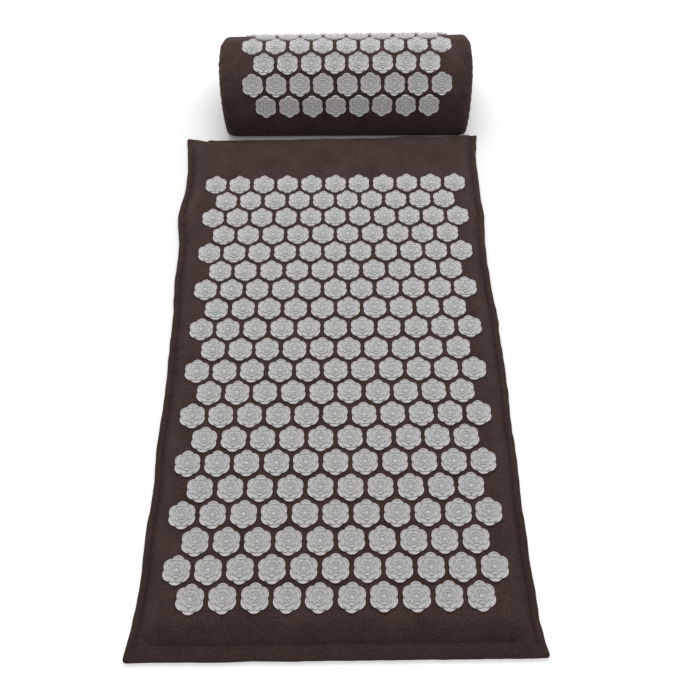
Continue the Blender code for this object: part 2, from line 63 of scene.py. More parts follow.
# Lotus disc. Each level has as many petals: (turn in petal steps, lobe's centre, lobe's radius)
PETALS = 6
OUTER_LOBES = (0.5, 0.0075, 0.0077)
SECOND_LOBES = (0.0, 0.0060, 0.0062)
THIRD_LOBES = (0.5, 0.0034, 0.0045)
COLLAR_LOBES = (0.0, 0.0014, 0.0033)
BUD_LOBES = (0.5, 0.0, 0.0024)
# Each level's (petals, floor height, rim height, height of its petals' tips)
LEVELS = (
    (OUTER_LOBES, 0.0009, 0.0020, 0.0036),
    (SECOND_LOBES, 0.0014, 0.0025, 0.0037),
    (THIRD_LOBES, 0.0018, 0.0029, 0.0038),
    (COLLAR_LOBES, 0.0021, 0.0031, 0.0036),
    (BUD_LOBES, 0.0028, 0.0033, 0.0033),
)
# Paleness is painted light: a painted highlight along the bead, and painted shade with grime below it
# Across a level from its rim: (most distance in, share of its breadth, share of the rim's rise, paleness)
BEAD = (
    (0.0, 0.0, 0.55, 0.55),
    (0.00035, 0.15, 1.0, 0.8),
    (0.0008, 0.33, 0.92, 0.7),
    (0.0013, 0.5, 0.25, 0.2),
    (0.0028, 0.75, 0.0, 0.4),
)
DISC_PITCH = 0.033
ROW_PITCH = DISC_PITCH * math.sin(math.pi / 3)
DISC_SINK = 0.0006
# How much paler the outermost petals' rims are painted than the inner ones': a painted highlight
OUTER_PALENESS = 1.5
# Paleness of the underside, the walls under the rims and the spikes: painted shade, darkest underneath
FOOT_PALENESS = 0.1
WALL_PALENESS = 0.2
SPIKE_PALENESS = 0.6
# How much painted shade a cleft takes off a petal's paleness
CLEFT_SHADE = 0.5
DISC_CREASE = math.radians(50)
DISC_FOOT_INSET = 0.0005
PETAL_LAP = 0.0002
PETAL_CLEFT = 0.0004
CLEFT_WIDTH = 0.0010
# From which share of its depth a cleft is taken for its own middle line, where no petal laps the next
CLEFT_LINE_SHARE = 0.999
# How far the wall under a rim leans out, and how many of the bead's lines the bud has
WALL_LEAN = 0.0001
BUD_RINGS = 3
TIP_SHARE = 0.24
SPIKE_RADIUS = 0.00075
SPIKE_TOP = 0.0045
SPIKE_SIDES = 6
SPIKE_INSET = 0.0007
DISC_SHIFT = 0.00035
DISC_TWIST = math.radians(5)
DISC_TILT = math.radians(0.7)
# Angles of the disc's spokes within half a petal, as shares of it: close together at the clefts
SPOKE_SHARES = (0, 0.1, 0.333, 0.667, 0.9)

# Mat cover
MAT_LENGTH = 0.696
MAT_WIDTH = 0.413
MAT_THICKNESS = 0.022
SIDE_HEM = 0.0095
FOOT_HEM = 0.015
PAD_RUN = 0.024
PAD_EASE = 0.4
HEAD_RUN = 0.026
SEAM_HEIGHT = 0.0043
HEM_HEIGHT = 0.0080
# Where across a hem its roll is highest
CREST_SHARE = 0.5
STITCH_HEIGHT = 0.0050
CORNER_ROUND = 0.005
HEAD_FLARE = 0.008
FOOT_FLARE = 0.009
FLARE_POWER = 8
HEAD_EDGE_BOW = 0.0105
HEAD_BOW_RUN = 0.05
HEAD_BOW_POWER = 1.3
# Over how much of its length a side hem flattens towards the head edge
HEM_FADE = 0.04
# How round the slope down to the head edge is, and over what length its lips turn in
HEAD_POWER = 0.5
LIP_TURN = 0.004
HEAD_LEAN = 0.005
LEAN_SHARE = 0.4
# Where the sides swell: (place along the mat, breadth, how far out on the left, and on the right)
SIDE_SWELL = (0.216, 0.032, 0.0058, 0.0033)
# Where the head edge strays: (place across the mat, breadth, how far out)
HEAD_SWAYS = ((0.14, 0.06, 0.0015), (-0.2195, 0.03, 0.001), (-0.14, 0.05, -0.001))
# How far inwards the head edge may stray, so that the zip's tape stays behind it
HEAD_STRAY = 0.0003
# Where the foam stands back from the head edge: (place across the mat, breadth, how soft the edge is)
HEAD_SAGS = ((-0.125, 0.06, 0.75), (0.13, 0.06, -0.15))
# Seeds of the unevenness of the mat's edges, and its ripples: (height, length, own seed)
SIDE_SEED = 11
HEAD_SEED = 21
FOOT_SEED = 31
EDGE_WAVES = ((0.0006, 0.09, 0), (0.00025, 0.025, 1))
# How much of that the foot has, and the middle share of the length that it doesn't move
FOOT_CALM = 0.4
MIDDLE_SHARE = 0.72
# Ripples of the head edge, puckers along the stitches and waves of the field: (height, length, seed)
HEAD_RIPPLES = ((0.00035, 0.035, 61),)
MAT_GATHERS = ((0.00055, 0.0105, 41), (0.0004, 0.028, 43))
MAT_WAVES = (0.0002, 0.06, 51)
# What share of the hem the puckers take to rise, how far they reach from the stitches, and how far along
# their ripples those of the foot start, so that they don't repeat those of the sides
GATHER_SHARE = 0.4
GATHER_FADE = 0.007
GATHER_SHIFT = 1.0
# How much painted shade darkens the hem, how far in and how softly, in hem widths, and the same for the
# groove beside it
HEM_PAINTED_SHADE = 0.6
HEM_SHADE_REACH = 1.2
HEM_SHADE_FADE = 0.4
GROOVE_PAINTED_SHADE = 0.4
GROOVE_SHADE_FADE = 0.25
# The step over which the cover's slope is measured, and a value that keeps divisions from 0
SURFACE_STEP = 0.0002
TINY = 1e-9
GRID_STEP = 0.0033
CLOTH = 0.0008
# Places of the cover's grid lines across a hem and the slope inside it, as shares of each
HEM_LINE_SHARES = (0, 0.015, 0.05, 0.12, 0.24, 0.38, 0.54, 0.70, 0.82, 0.90, 0.95)
SLOPE_LINE_SHARES = (0, 0.02, 0.05, 0.1, 0.17, 0.26, 0.37, 0.5, 0.62, 0.74, 0.87, 1)
HEAD_LINE_SHARES = (0, 0.01, 0.03, 0.07, 0.13, 0.21, 0.31, 0.44, 0.6, 0.78, 1)

# Pillow
PILLOW_DEPTH = 0.140
PILLOW_HEIGHT = 0.106
PILLOW_BULGE = 0.004
# How far the filled ends reach past the base panel, on the left and on the right
PILLOW_END_REACH = (0.005, 0.002)
PILLOW_TUCK = 0.010
# How far the front's foot stands back at the left end, and forward at the right one
FOOT_TURN = 0.0018
FOOT_TURN_HEIGHT = 0.03
PILLOW_ROUND = 0.014
PILLOW_DRAW = 0.010
PILLOW_END_CROWN = 0.005
PILLOW_RIM = 0.0013
# How far the lower rim turns up at the ends, as a share of how far the section is drawn in
RIM_TURN_SHARE = 0.1
PILLOW_ZIP_INSET = 0.0345
PILLOW_ZIP_CORNER = 0.0065
PILLOW_BASE_EDGE = 0.003
ARCH_POWER = 2.15
ARCH_STEPS = 900
ARCH_STEP = 0.0005
FLAT_BLEND = 0.007
END_SEAM_DEPTH = 0.0013
# Grid lines of the pillow's round end, as shares of it, and of its flanks and end panels
END_LINE_SHARES = (0, 0.008, 0.03, 0.07, 0.12, 0.19, 0.27, 0.37, 0.49, 0.63, 0.81, 1)
PANEL_RING_SHARES = (1, 0.985, 0.96, 0.92, 0.86, 0.78, 0.68, 0.56, 0.42, 0.26, 0.1)
# Grid lines of the base's turned-up back edge, and how many lie across its front one
BASE_EDGE_SHARES = (0, 0.04, 0.15, 0.35, 0.65, 1)
TUCK_STEPS = 7
# How the cover is drawn in towards its ends
END_POWER = 1.8
# Gathers along the end seams, puckers of the end panels and waves of the cover: (height, length, seed)
PILLOW_GATHERS = ((0.0006, 0.012, 81), (0.0005, 0.03, 82))
END_PUCKERS = ((0.0006, 0.011, 91),)
PILLOW_WAVES = (0.00035, 0.05, 83)
# How far from the end the gathers lie and their breadth, and the same for the puckers as shares of the panel
GATHER_BAND = (0.006, 0.007)
PUCKER_SHARES = (0.9, 0.06)
# Over what height above the rim the cover's unevenness sets in
RELIEF_RUN = 0.01
# Height of an end panel's middle as a share of the pillow's, and where its turned-in seam begins
END_MIDDLE_SHARE = 0.42
END_SEAM_SHARE = 0.96

# Zips, about the outer face of their tapes
ZIP_LIP = 0.0096
ZIP_LOW_LIP = 0.0022
# Where the mat's mouth for the zip is closed on the left and on the right, past the pull tab's reach there,
# over what length it closes, and the wall that the tape holds up
MAT_ZIP_ENDS = (-0.181, 0.1858)
MAT_ZIP_CORNER = 0.0075
ZIP_WALL = 0.0134
ZIP_WALL_RUN = 0.003
CLEARANCE = 0.0003
TAPE_THICKNESS = 0.0006
TEETH_REACH = 0.0022
TEETH_DEPTH = 0.0015
# How far the CAD's strips of teeth stand back from the zip's middle
TEETH_INSET = 0.0006
TOOTH_PITCH = 0.0015
TOOTH_WIDTH = 0.00095
TOOTH_GAP = 0.00035
TOOTH_LEAN = 0.00022
TOOTH_SIDES = 8
# The coil's hook: its points, how far it stands out and how square it is, its middle and swing across the
# zip, its inner end, its thickness at both ends, its flatness and how deep it lies
TOOTH_BENDS = 7
TOOTH_RISE_SHARE = 0.55
TOOTH_RISE_POWER = 0.6
TOOTH_SWING_SHARES = (0.5, 0.42)
TOOTH_FOOT_SHARE = 0.2
TOOTH_FOOT_GAP = 0.0001
TOOTH_END_SHARES = (0.7, 0.5)
TOOTH_FLAT_SHARE = 0.7
TOOTH_SINK_SHARE = 0.5
STOP_BEVEL = 0.0003
BEVEL_STEPS = 2
BEVEL_PROFILE = 0.7
METAL_CREASE = math.radians(40)
SLIDER_PLATE = 0.0009
SLIDER_LENGTH = 0.010
SLIDER_NECK = 0.0006
SLIDER_NECK_LENGTH = 0.004
SLIDER_NECK_BEVEL = 0.00005
SLIDER_BEVEL = 0.00025
PLATE_FACE = 0.0030
PIN_HEIGHT = 0.00445
PIN_RADIUS = 0.0004
PIN_SIDES = 12
PIN_REACH_SHARE = 0.9
PIN_BEVEL = 0.00005
KNUCKLE_RADIUS = 0.00115
KNUCKLE_WIDTH = 0.0022
KNUCKLE_BEVEL = 0.00012
EAR_WIDTH = 0.0008
EAR_STEPS = 9
EAR_FOOT_SHARE = 1.25
EAR_BEVEL = 0.00015
TAB_START = 0.0019
TAB_LENGTH = 0.011
TAB_THICKNESS = 0.0009
TAB_BEVEL = 0.0002
TAB_STEPS = 24
# The shank between knuckle and blade: where it starts, how far it laps the blade, and how much thinner than
# the blade and narrower than the knuckle it is
SHANK_START = 0.0009
SHANK_LAP = 0.0006
SHANK_SHARES = (0.95, 0.8)
SHANK_BEVEL = 0.0001
# The slider plate's outline: (share of its length from its wide end, half width)
SLIDER_OUTLINE = (
    (0, 0.0017), (0.04, 0.0022), (0.12, 0.0026), (0.25, 0.0027), (0.45, 0.0026),
    (0.7, 0.0024), (0.9, 0.0022), (0.97, 0.0018), (1, 0.0012),
)
# The pull tab's outline and its hole's: (share of its length from the knuckle, half width)
TAB_OUTLINE = (
    (0, 0.0011), (0.12, 0.0012), (0.25, 0.0016), (0.45, 0.0020), (0.7, 0.0022),
    (0.85, 0.00215), (0.94, 0.0018), (0.985, 0.0011), (1, 0.0004),
)
TAB_HOLE = (
    (0.55, 0.0002), (0.57, 0.0006), (0.62, 0.0009), (0.68, 0.00105), (0.75, 0.0011),
    (0.82, 0.00105), (0.87, 0.0009), (0.91, 0.0006), (0.925, 0.0002),
)

# Foam
MAT_FOAM_INSET = 0.0065
MAT_FOAM_STEPS = 40
# Up the slab's edge: (share of its height, how far it is cut back as a share of the padded slope)
MAT_FOAM_SHARES = (
    (0, 0.13), (0.06, 0.04), (0.2, 0), (0.32, 0.15), (0.6, 0.38), (0.85, 0.76), (0.96, 1), (1, 1.2),
)

# The pillow's foam: how far inside the cover its ends and its flanks lie, and what is cut off by the zip
PILLOW_FOAM_GAP = 0.0015
PILLOW_FOAM_INSET = 0.0026
PILLOW_FOAM_CUT = 0.0065
PILLOW_FOAM_STEPS = 60
# Its ends: (distance in as a share of the pillow's rounding, share of the cover's draw)
PILLOW_FOAM_SHARES = ((0, 1), (0.03, 0.75), (0.12, 0.5), (0.3, 0.28), (0.6, 0.1), (1, 0))

# Lamps: (name, place, target, size, power), and the light from all round: on the object, and seen
LAMPS = (
    ("overhead", (0.1, 0.85, 1.5), (0, 0.1, 0), (1.6, 1.2), 19.5),
    ("front_fill", (-0.3, -1.6, 1.3), (0, 0, 0), (1.4, 1.0), 2.5),
)
WORLD_STRENGTHS = (0.36, 1.0)
# How far the floor reaches, and how far it lies under the object
FLOOR_REACH = 6
FLOOR_DROP = 0.0002

# The floor's own light, which fills in what the lamps leave: about where, from and to how far, and how strong
GLOW_MIDDLE = (0, 0.36, 0)
GLOW_REACH = (0.15, 1.2)
GLOW = (0.06, 0.75)

# Thread pitch of the cotton, and stitches
THREAD = 0.00062
STITCH_LENGTH = 0.0027
STITCH_PITCH = 0.0034
STITCH_LINE_STEP = STITCH_LENGTH / 3
STITCH_RADIUS = 0.00033
STITCH_SINK = 0.00008
STITCH_SIDES = 6
# Along a stitch: (place as a share of half its length, share of its radius), and how far its ends bend down
STITCH_SHARES = (
    (-1, 0.25), (-0.97, 0.6), (-0.8, 0.9), (-0.4, 1), (0, 1), (0.4, 1), (0.8, 0.9), (0.97, 0.6), (1, 0.25),
)
STITCH_BEND_SHARE = 0.6
# How far the stitches lie from the mat's lip, and above the pillow's
LIP_STITCH_INSET = 0.0006
LIP_STITCH_RISE = 0.0028


def add_object(name, data):
    made = bpy.data.objects.new(name, data)
    bpy.context.scene.collection.objects.link(made)
    return made


def new_object(name, mesh, look, body, slot, *nodes):
    """A named piece that moves with a body, and stands for CAD nodes."""
    piece = add_object(name, mesh)
    mesh.materials.append(MATERIALS[look])
    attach(piece, body)
    if nodes:
        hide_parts(*nodes)
    return piece


def mesh_from_arrays(name, points, faces):
    """A smooth mesh from an array of points and a list of arrays of faces with as many corners each."""
    mesh = bpy.data.meshes.new(name)
    points = np.asarray(points, np.float32).reshape(-1, 3)
    corners = np.concatenate([block.ravel() for block in faces])
    sizes = np.concatenate([np.full(len(block), block.shape[1]) for block in faces])
    mesh.vertices.add(len(points))
    mesh.vertices.foreach_set("co", points.ravel())
    mesh.loops.add(len(corners))
    mesh.loops.foreach_set("vertex_index", corners.astype(np.int32))
    mesh.polygons.add(len(sizes))
    starts = np.concatenate(([0], np.cumsum(sizes)[:-1]))
    mesh.polygons.foreach_set("loop_start", starts.astype(np.int32))
    mesh.update(calc_edges=True)
    mesh.validate()
    mesh.shade_smooth()
    return mesh


def set_numbers(mesh, name, values):
    attribute = mesh.attributes.new(name, "FLOAT", "POINT")
    attribute.data.foreach_set("value", np.asarray(values, np.float32).ravel())


def set_vectors(mesh, name, values):
    attribute = mesh.attributes.new(name, "FLOAT_VECTOR", "POINT")
    attribute.data.foreach_set("vector", np.asarray(values, np.float32).ravel())


def cotton_piece(name, node, body, points, faces, flat, painted_shade_share=None):
    """A sheet of the cover, thickened inwards. Flat is where its points lie before it is sewn."""
    mesh = mesh_from_arrays(name, points, faces)
    across, along = flat
    set_vectors(mesh, "cloth", np.stack([across, along, np.zeros_like(across)], axis=-1))
    # How much painted shade darkens each point, none where it is not given
    set_numbers(mesh, "painted_shade_share", np.zeros_like(across) if painted_shade_share is None else painted_shade_share)
    piece = new_object(name, mesh, "cotton", body, "cover_cotton", node)
    modifier = piece.modifiers.new("cloth", "SOLIDIFY")
    modifier.thickness = CLOTH
    modifier.offset = -1
    modifier.use_even_offset = False
    return piece


def grid_faces(rows, columns, flip=False):
    """The quads of a grid of points kept row by row."""
    index = np.arange(rows * columns).reshape(rows, columns)
    quads = (index[:-1, :-1], index[:-1, 1:], index[1:, 1:], index[1:, :-1])
    if flip:
        quads = quads[::-1]
    return np.stack([corner.ravel() for corner in quads], axis=1)


def repeat_faces(faces, count, points):
    """The faces of a number of copies that have as many points each."""
    return np.vstack([faces + index * points for index in range(count)])


def ring_quads(levels, count):
    """The quads between closed rings of points, from the first ring to the last."""
    ring = np.arange(count)
    after = np.roll(ring, -1)
    band = np.stack([ring, after, count + after, count + ring], axis=1)
    return repeat_faces(band, levels - 1, count)


def ring_fan(first, count, middle, under=False):
    """The triangles between a closed ring and a point in its middle, which face up or else down."""
    ring = first + np.arange(count)
    after = np.roll(ring, -1)
    sides = (after, ring) if under else (ring, after)
    return np.stack([*sides, np.full(count, middle)], axis=1)


def end_cap(sides):
    """The quads across the end of a rod that has an even number of sides."""
    return np.array([[i, i + 1, sides - 2 - i, sides - 1 - i] for i in range(sides // 2 - 1)])


def unit(vectors):
    """Vectors scaled to length 1."""
    return vectors / np.linalg.norm(vectors, axis=-1, keepdims=True)


def distances(line):
    """How far along a line each of its points lies."""
    return np.concatenate(([0], np.cumsum(np.linalg.norm(np.diff(line, axis=0), axis=1))))


def along_line(place, far, line):
    """A line's value at a distance along it."""
    return np.array([np.interp(place, far, axis) for axis in line.T])


def slope(share):
    """A rise that starts steeply and ends level."""
    share = np.clip(share, 0, 1)
    return 1 - (1 - share) ** 2


def ease(share):
    """A rise that starts and ends level."""
    share = np.clip(share, 0, 1)
    return share * share * (3 - 2 * share)


def hump(along, place, breadth):
    """1 at a place, and softly down to 0 on both sides of it."""
    return np.exp(-(((along - place) / breadth) ** 2))


def waves(x, y, length, seed, count=9):
    """A smooth random relief from -1 to 1 or so, whose bumps are about length across."""
    draw = random.Random(seed)
    total = np.zeros(np.broadcast(x, y).shape)
    for _ in range(count):
        angle = draw.uniform(0, 2 * math.pi)
        rate = 2 * math.pi / (length * draw.uniform(0.7, 1.6))
        phase = draw.uniform(0, 2 * math.pi)
        total += np.sin(rate * (x * math.cos(angle) + y * math.sin(angle)) + phase)
    return total / math.sqrt(count)


def ripple(along, length, seed, count=7):
    """The same along one line."""
    draw = random.Random(seed)
    total = np.zeros(np.shape(along))
    for _ in range(count):
        rate = 2 * math.pi / (length * draw.uniform(0.6, 1.7))
        total += np.sin(rate * along + draw.uniform(0, 2 * math.pi))
    return total / math.sqrt(count)


def ripples(along, table, seed=0):
    """Ripples of several sizes, each given by its height, length and own seed."""
    return sum(height * ripple(along, length, seed + own) for height, length, own in table)


# Materials


class Shading:
    """A material whose nodes are added one by one."""

    def __init__(self, name):
        self.material = bpy.data.materials.new(name)
        self.material.use_nodes = True
        self.tree = self.material.node_tree
        self.shader = self.tree.nodes["Principled BSDF"]

    def feed(self, socket, value):
        if isinstance(value, bpy.types.NodeSocket):
            self.tree.links.new(value, socket)
        else:
            socket.default_value = value

    def add(self, kind, inputs, **settings):
        node = self.tree.nodes.new(kind)
        for key, value in settings.items():
            setattr(node, key, value)
        for key, value in inputs.items():
            self.feed(node.inputs[key], value)
        return node

    def math(self, operation, first, second=0.0, clamp=False):
        node = self.add("ShaderNodeMath", {0: first, 1: second}, operation=operation)
        node.use_clamp = clamp
        return node.outputs[0]

    def number(self, name):
        return self.add("ShaderNodeAttribute", {}, attribute_name=name).outputs["Fac"]

    def vector(self, name):
        return self.add("ShaderNodeAttribute", {}, attribute_name=name).outputs["Vector"]

    def places(self):
        return self.add("ShaderNodeTexCoord", {}).outputs["Object"]

    def scaled(self, vector, scale):
        node = self.add("ShaderNodeVectorMath", {0: vector, 1: scale}, operation="MULTIPLY")
        return node.outputs[0]

    def noise(self, vector, scale, detail=2.0, roughness=0.5):
        inputs = {"Vector": vector, "Scale": scale, "Detail": detail, "Roughness": roughness}
        return self.add("ShaderNodeTexNoise", inputs).outputs["Fac"]

    def spread(self, value, low, high, to_low=0.0, to_high=1.0):
        """Value from low to high mapped to another range and clamped."""
        inputs = {"Value": value, "From Min": low, "From Max": high, "To Min": to_low, "To Max": to_high}
        return self.add("ShaderNodeMapRange", inputs).outputs["Result"]

    def mix(self, share, first, second):
        node = self.add("ShaderNodeMix", {}, data_type="RGBA")
        self.feed(node.inputs[0], share)
        self.feed(node.inputs[6], first)
        self.feed(node.inputs[7], second)
        return node.outputs[2]

    def bump(self, height, distance, strength=1.0):
        inputs = {"Height": height, "Distance": distance, "Strength": strength}
        node = self.add("ShaderNodeBump", inputs)
        self.feed(self.shader.inputs["Normal"], node.outputs["Normal"])

    def surface(self, colour=None, roughness=None, **constants):
        if colour is not None:
            self.feed(self.shader.inputs["Base Color"], colour)
        if roughness is not None:
            self.feed(self.shader.inputs["Roughness"], roughness)
        for key, value in constants.items():
            self.shader.inputs[key.replace("_", " ")].default_value = value
        return self.material


def weave(shading, cloth, pitch):
    """The height of a plain weave, from -1 to 1, over a cloth's own coordinates in metres."""
    rate = math.pi / pitch
    parts = shading.add("ShaderNodeSeparateXYZ", {0: shading.scaled(cloth, (rate, rate, rate))})
    warp = shading.math("SINE", parts.outputs[0])
    weft = shading.math("SINE", parts.outputs[1])
    return shading.math("MULTIPLY", warp, weft)


def cotton_material():
    """Woven cotton: crossing threads of uneven thickness, soft blotches, pale specks of lint, and painted
    shade where it is given.
    """
    made = Shading("cover_cotton_weave")
    dark = (0.034, 0.019, 0.016, 1)
    light = (0.084, 0.052, 0.045, 1)
    speck = (0.16, 0.12, 0.105, 1)
    cloth = made.vector("cloth")
    threads = weave(made, cloth, THREAD)
    warp_slubs = made.noise(made.scaled(cloth, (1600, 90, 1)), 1.0)
    weft_slubs = made.noise(made.scaled(cloth, (90, 1600, 1)), 1.0)
    slubs = made.math("ADD", warp_slubs, weft_slubs)
    blotches = made.noise(cloth, 28.0, 3.0)
    mottle = made.noise(cloth, 420.0, 3.0, 0.65)
    tone = made.math("MULTIPLY_ADD", threads, 0.12)
    tone.node.inputs[2].default_value = 0.5
    tone = made.math("ADD", tone, made.spread(slubs, 0.7, 1.3, -0.28, 0.28))
    tone = made.math("ADD", tone, made.spread(blotches, 0.3, 0.7, -0.2, 0.2))
    tone = made.math("ADD", tone, made.spread(mottle, 0.3, 0.7, -0.45, 0.45), clamp=True)
    colour = made.mix(tone, dark, light)
    lint = made.noise(made.scaled(cloth, (700, 850, 1)), 1.0, 1.0)
    colour = made.mix(made.spread(lint, 0.70, 0.80, 0.0, 0.55), colour, speck)
    # Painted shade: darker on the hems and most in the grooves beside them
    colour = made.mix(made.math("MULTIPLY", made.number("painted_shade_share"), 0.45), colour, dark)
    height = made.math("ADD", threads, made.math("MULTIPLY", slubs, 0.9))
    height = made.math("ADD", height, made.math("MULTIPLY", mottle, 1.2))
    made.bump(height, 0.00009)
    roughness = made.spread(slubs, 0.6, 1.4, 0.95, 0.82)
    made.shader.inputs["Sheen Tint"].default_value = (0.62, 0.5, 0.46, 1)
    return made.surface(colour, roughness, Sheen_Weight=0.16, Sheen_Roughness=0.45, Specular_IOR_Level=0.2)


def disc_material():
    """Moulded plastic with a slight difference from disc to disc, and painted light: rims paled by a painted
    highlight with wear, hollows darkened by painted shade with grime.
    """
    made = Shading("lotus_disc_plastic")
    places = made.places()
    # The painted highlight and shade of each point, with wear on the rims and grime in the hollows
    painted_light_and_grime = made.number("painted_light_and_grime")
    tint = made.number("tint")
    hollow_shade_and_grime_colour = (0.36, 0.40, 0.38, 1)
    rim_highlight_and_wear_colour = (0.93, 0.87, 0.885, 1)
    dust = made.noise(places, 260.0, 4.0, 0.6)
    share = made.math("ADD", painted_light_and_grime, made.spread(dust, 0.3, 0.7, -0.12, 0.12), clamp=True)
    colour = made.mix(share, hollow_shade_and_grime_colour, rim_highlight_and_wear_colour)
    warm = made.mix(0.5, colour, (0.66, 0.60, 0.61, 1))
    colour = made.mix(made.math("MULTIPLY", tint, 0.35), colour, warm)
    grain = made.noise(places, 2600.0, 2.0)
    made.bump(made.math("ADD", grain, made.noise(places, 500.0, 2.0)), 0.00006, 0.6)
    roughness = made.spread(dust, 0.3, 0.7, 0.42, 0.58)
    return made.surface(colour, roughness, Specular_IOR_Level=0.45)


def thread_material():
    """Polyester sewing thread, twisted."""
    made = Shading("sewing_thread")
    places = made.places()
    twist = made.noise(made.scaled(places, (1800, 900, 1800)), 1.0, 1.0)
    colour = made.mix(twist, (0.028, 0.018, 0.016, 1), (0.075, 0.052, 0.047, 1))
    made.bump(twist, 0.00008)
    return made.surface(colour, made.spread(twist, 0.3, 0.7, 0.75, 0.6), Sheen_Weight=0.2)


def tape_material():
    """Woven polyester zip tape with a fine rib along it."""
    made = Shading("zip_tape_weave")
    places = made.places()
    parts = made.add("ShaderNodeSeparateXYZ", {0: made.scaled(places, (5200, 5200, 9000))})
    ribs = made.math("MULTIPLY", made.math("SINE", parts.outputs[0]), made.math("SINE", parts.outputs[2]))
    tone = made.spread(made.math("ADD", ribs, made.noise(places, 900.0)), -0.6, 1.6)
    colour = made.mix(tone, (0.02, 0.012, 0.011, 1), (0.055, 0.037, 0.034, 1))
    made.bump(ribs, 0.00008)
    return made.surface(colour, made.spread(tone, 0, 1, 0.9, 0.75), Sheen_Weight=0.2)


def coil_material():
    """Nylon coil of the zip's teeth."""
    made = Shading("zip_coil_nylon")
    places = made.places()
    mottle = made.noise(places, 1500.0, 3.0)
    colour = made.mix(mottle, (0.03, 0.019, 0.017, 1), (0.075, 0.052, 0.046, 1))
    made.bump(mottle, 0.00004)
    return made.surface(colour, made.spread(mottle, 0.3, 0.7, 0.32, 0.48))


def enamel_material():
    """Brown enamel on zinc alloy, worn pale along the slider's edges."""
    made = Shading("zip_enamelled_zinc")
    places = made.places()
    geometry = made.add("ShaderNodeNewGeometry", {})
    edges = made.spread(geometry.outputs["Pointiness"], 0.52, 0.6)
    chips = made.spread(made.noise(places, 1400.0, 3.0, 0.7), 0.52, 0.7)
    worn = made.math("MULTIPLY", edges, chips)
    colour = made.mix(worn, (0.045, 0.03, 0.027, 1), (0.24, 0.22, 0.2, 1))
    made.bump(made.noise(places, 900.0, 2.0), 0.00003)
    roughness = made.spread(chips, 0, 1, 0.28, 0.42)
    return made.surface(colour, roughness, Coat_Weight=0.2, Coat_Roughness=0.2)


def foam_material():
    """Open-cell foam: pale, with its small pores darkened by painted shade."""
    made = Shading("foam_open_cell")
    places = made.places()
    cells = made.add("ShaderNodeTexVoronoi", {"Vector": places, "Scale": 700.0}).outputs["Distance"]
    yellowing = made.noise(places, 30.0, 3.0)
    fresh = made.mix(yellowing, (0.68, 0.66, 0.58, 1), (0.6, 0.55, 0.42, 1))
    # The pores are darkened with painted shade
    colour = made.mix(made.spread(cells, 0.1, 0.5), (0.4, 0.37, 0.29, 1), fresh)
    made.bump(cells, 0.0004)
    return made.surface(colour, made.spread(cells, 0, 1, 0.98, 0.9))


# Lotus discs


def lobe_reach(angles, lobes):
    """How far an outline of round lobes reaches at each angle."""
    _, centre, radius = lobes
    off = lobe_offset(angles, lobes) * math.pi / PETALS
    return centre * np.cos(off) + np.sqrt(radius**2 - (centre * np.sin(off)) ** 2)


def lobe_offset(angles, lobes):
    """Where each angle lies within its petal: -1 and 1 at the clefts and 0 in its middle."""
    step = 2 * math.pi / PETALS
    turn = lobes[0]
    return ((angles - turn * step + step / 2) % step - step / 2) / (step / 2)


def spoke_angles():
    half = math.pi / PETALS
    starts = np.arange(2 * PETALS) * half
    return (starts[:, None] + np.array(SPOKE_SHARES)[None, :] * half).ravel()


def petal_rings(angles, level, inner, outer_floor):
    """The rings of one level of petals, from their rims in to the next level."""
    lobes, floor, rim, tip = level
    reach = lobe_reach(angles, lobes)
    off = lobe_offset(angles, lobes)
    cleft = hump((1 - np.abs(off)) * math.pi / PETALS * reach, 0, CLEFT_WIDTH)
    cusp = (tip - rim) * np.exp(-np.abs(off) / TIP_SHARE)
    lap = PETAL_LAP * np.where(cleft > CLEFT_LINE_SHARE, 0, off)
    band = reach - (lobe_reach(angles, inner) if inner else 0)
    # The wall from this level's rim down to the floor outside it is darkened with painted shade
    rings = [(reach + WALL_LEAN, np.full(len(angles), outer_floor), WALL_PALENESS)] if outer_floor else []
    for most, share, rise, pale in BEAD if inner else BEAD[:BUD_RINGS]:
        inwards = np.minimum(most, share * band)
        low = outer_floor if share == 0 and outer_floor else floor
        height = low + rise * (rim - low + cusp) + (lap - PETAL_CLEFT * cleft) * min(1, 2 * rise)
        # The outermost rims get more painted highlight, and the clefts painted shade
        pale = pale * (1 if outer_floor else OUTER_PALENESS)
        rings.append((reach - inwards, height, np.clip(pale - CLEFT_SHADE * cleft, 0, 1)))
    return rings


def disc_rings(angles):
    """The disc's rings from its underside's edge over the petals to the bud: reach, height, and paleness,
    which is painted highlight and shade with grime.
    """
    foot = lobe_reach(angles, OUTER_LOBES) - DISC_FOOT_INSET
    rings = [(foot, np.full(len(angles), -DISC_SINK), FOOT_PALENESS)]
    before = None
    for level, following in zip(LEVELS, LEVELS[1:] + (None,)):
        inner = following[0] if following else None
        rings += petal_rings(angles, level, inner, before)
        before = level[1]
    return rings


def spike_template():
    """A sharp cone with a closed foot: points and faces."""
    angles = np.arange(SPIKE_SIDES) * 2 * math.pi / SPIKE_SIDES
    foot = np.stack([np.cos(angles), np.sin(angles), np.zeros(SPIKE_SIDES)], axis=1)
    base = [[0, index + 1, index] for index in range(1, SPIKE_SIDES - 1)]
    return np.vstack([foot, [[0, 0, 1]]]), np.vstack([ring_fan(0, SPIKE_SIDES, SPIKE_SIDES), base])


def spike_places():
    """A spike stands on the bud and on the tip of each petal: its x, y and foot height."""
    places = [(0, 0, LEVELS[-1][2] - SPIKE_RADIUS)]
    for (turn, centre, radius), _, rim, tip in LEVELS[:-1]:
        reach = centre + radius - SPIKE_INSET
        foot = (rim + tip) / 2 - SPIKE_RADIUS
        for index in range(PETALS):
            angle = (index + turn) * 2 * math.pi / PETALS
            places.append((reach * math.cos(angle), reach * math.sin(angle), foot))
    return places


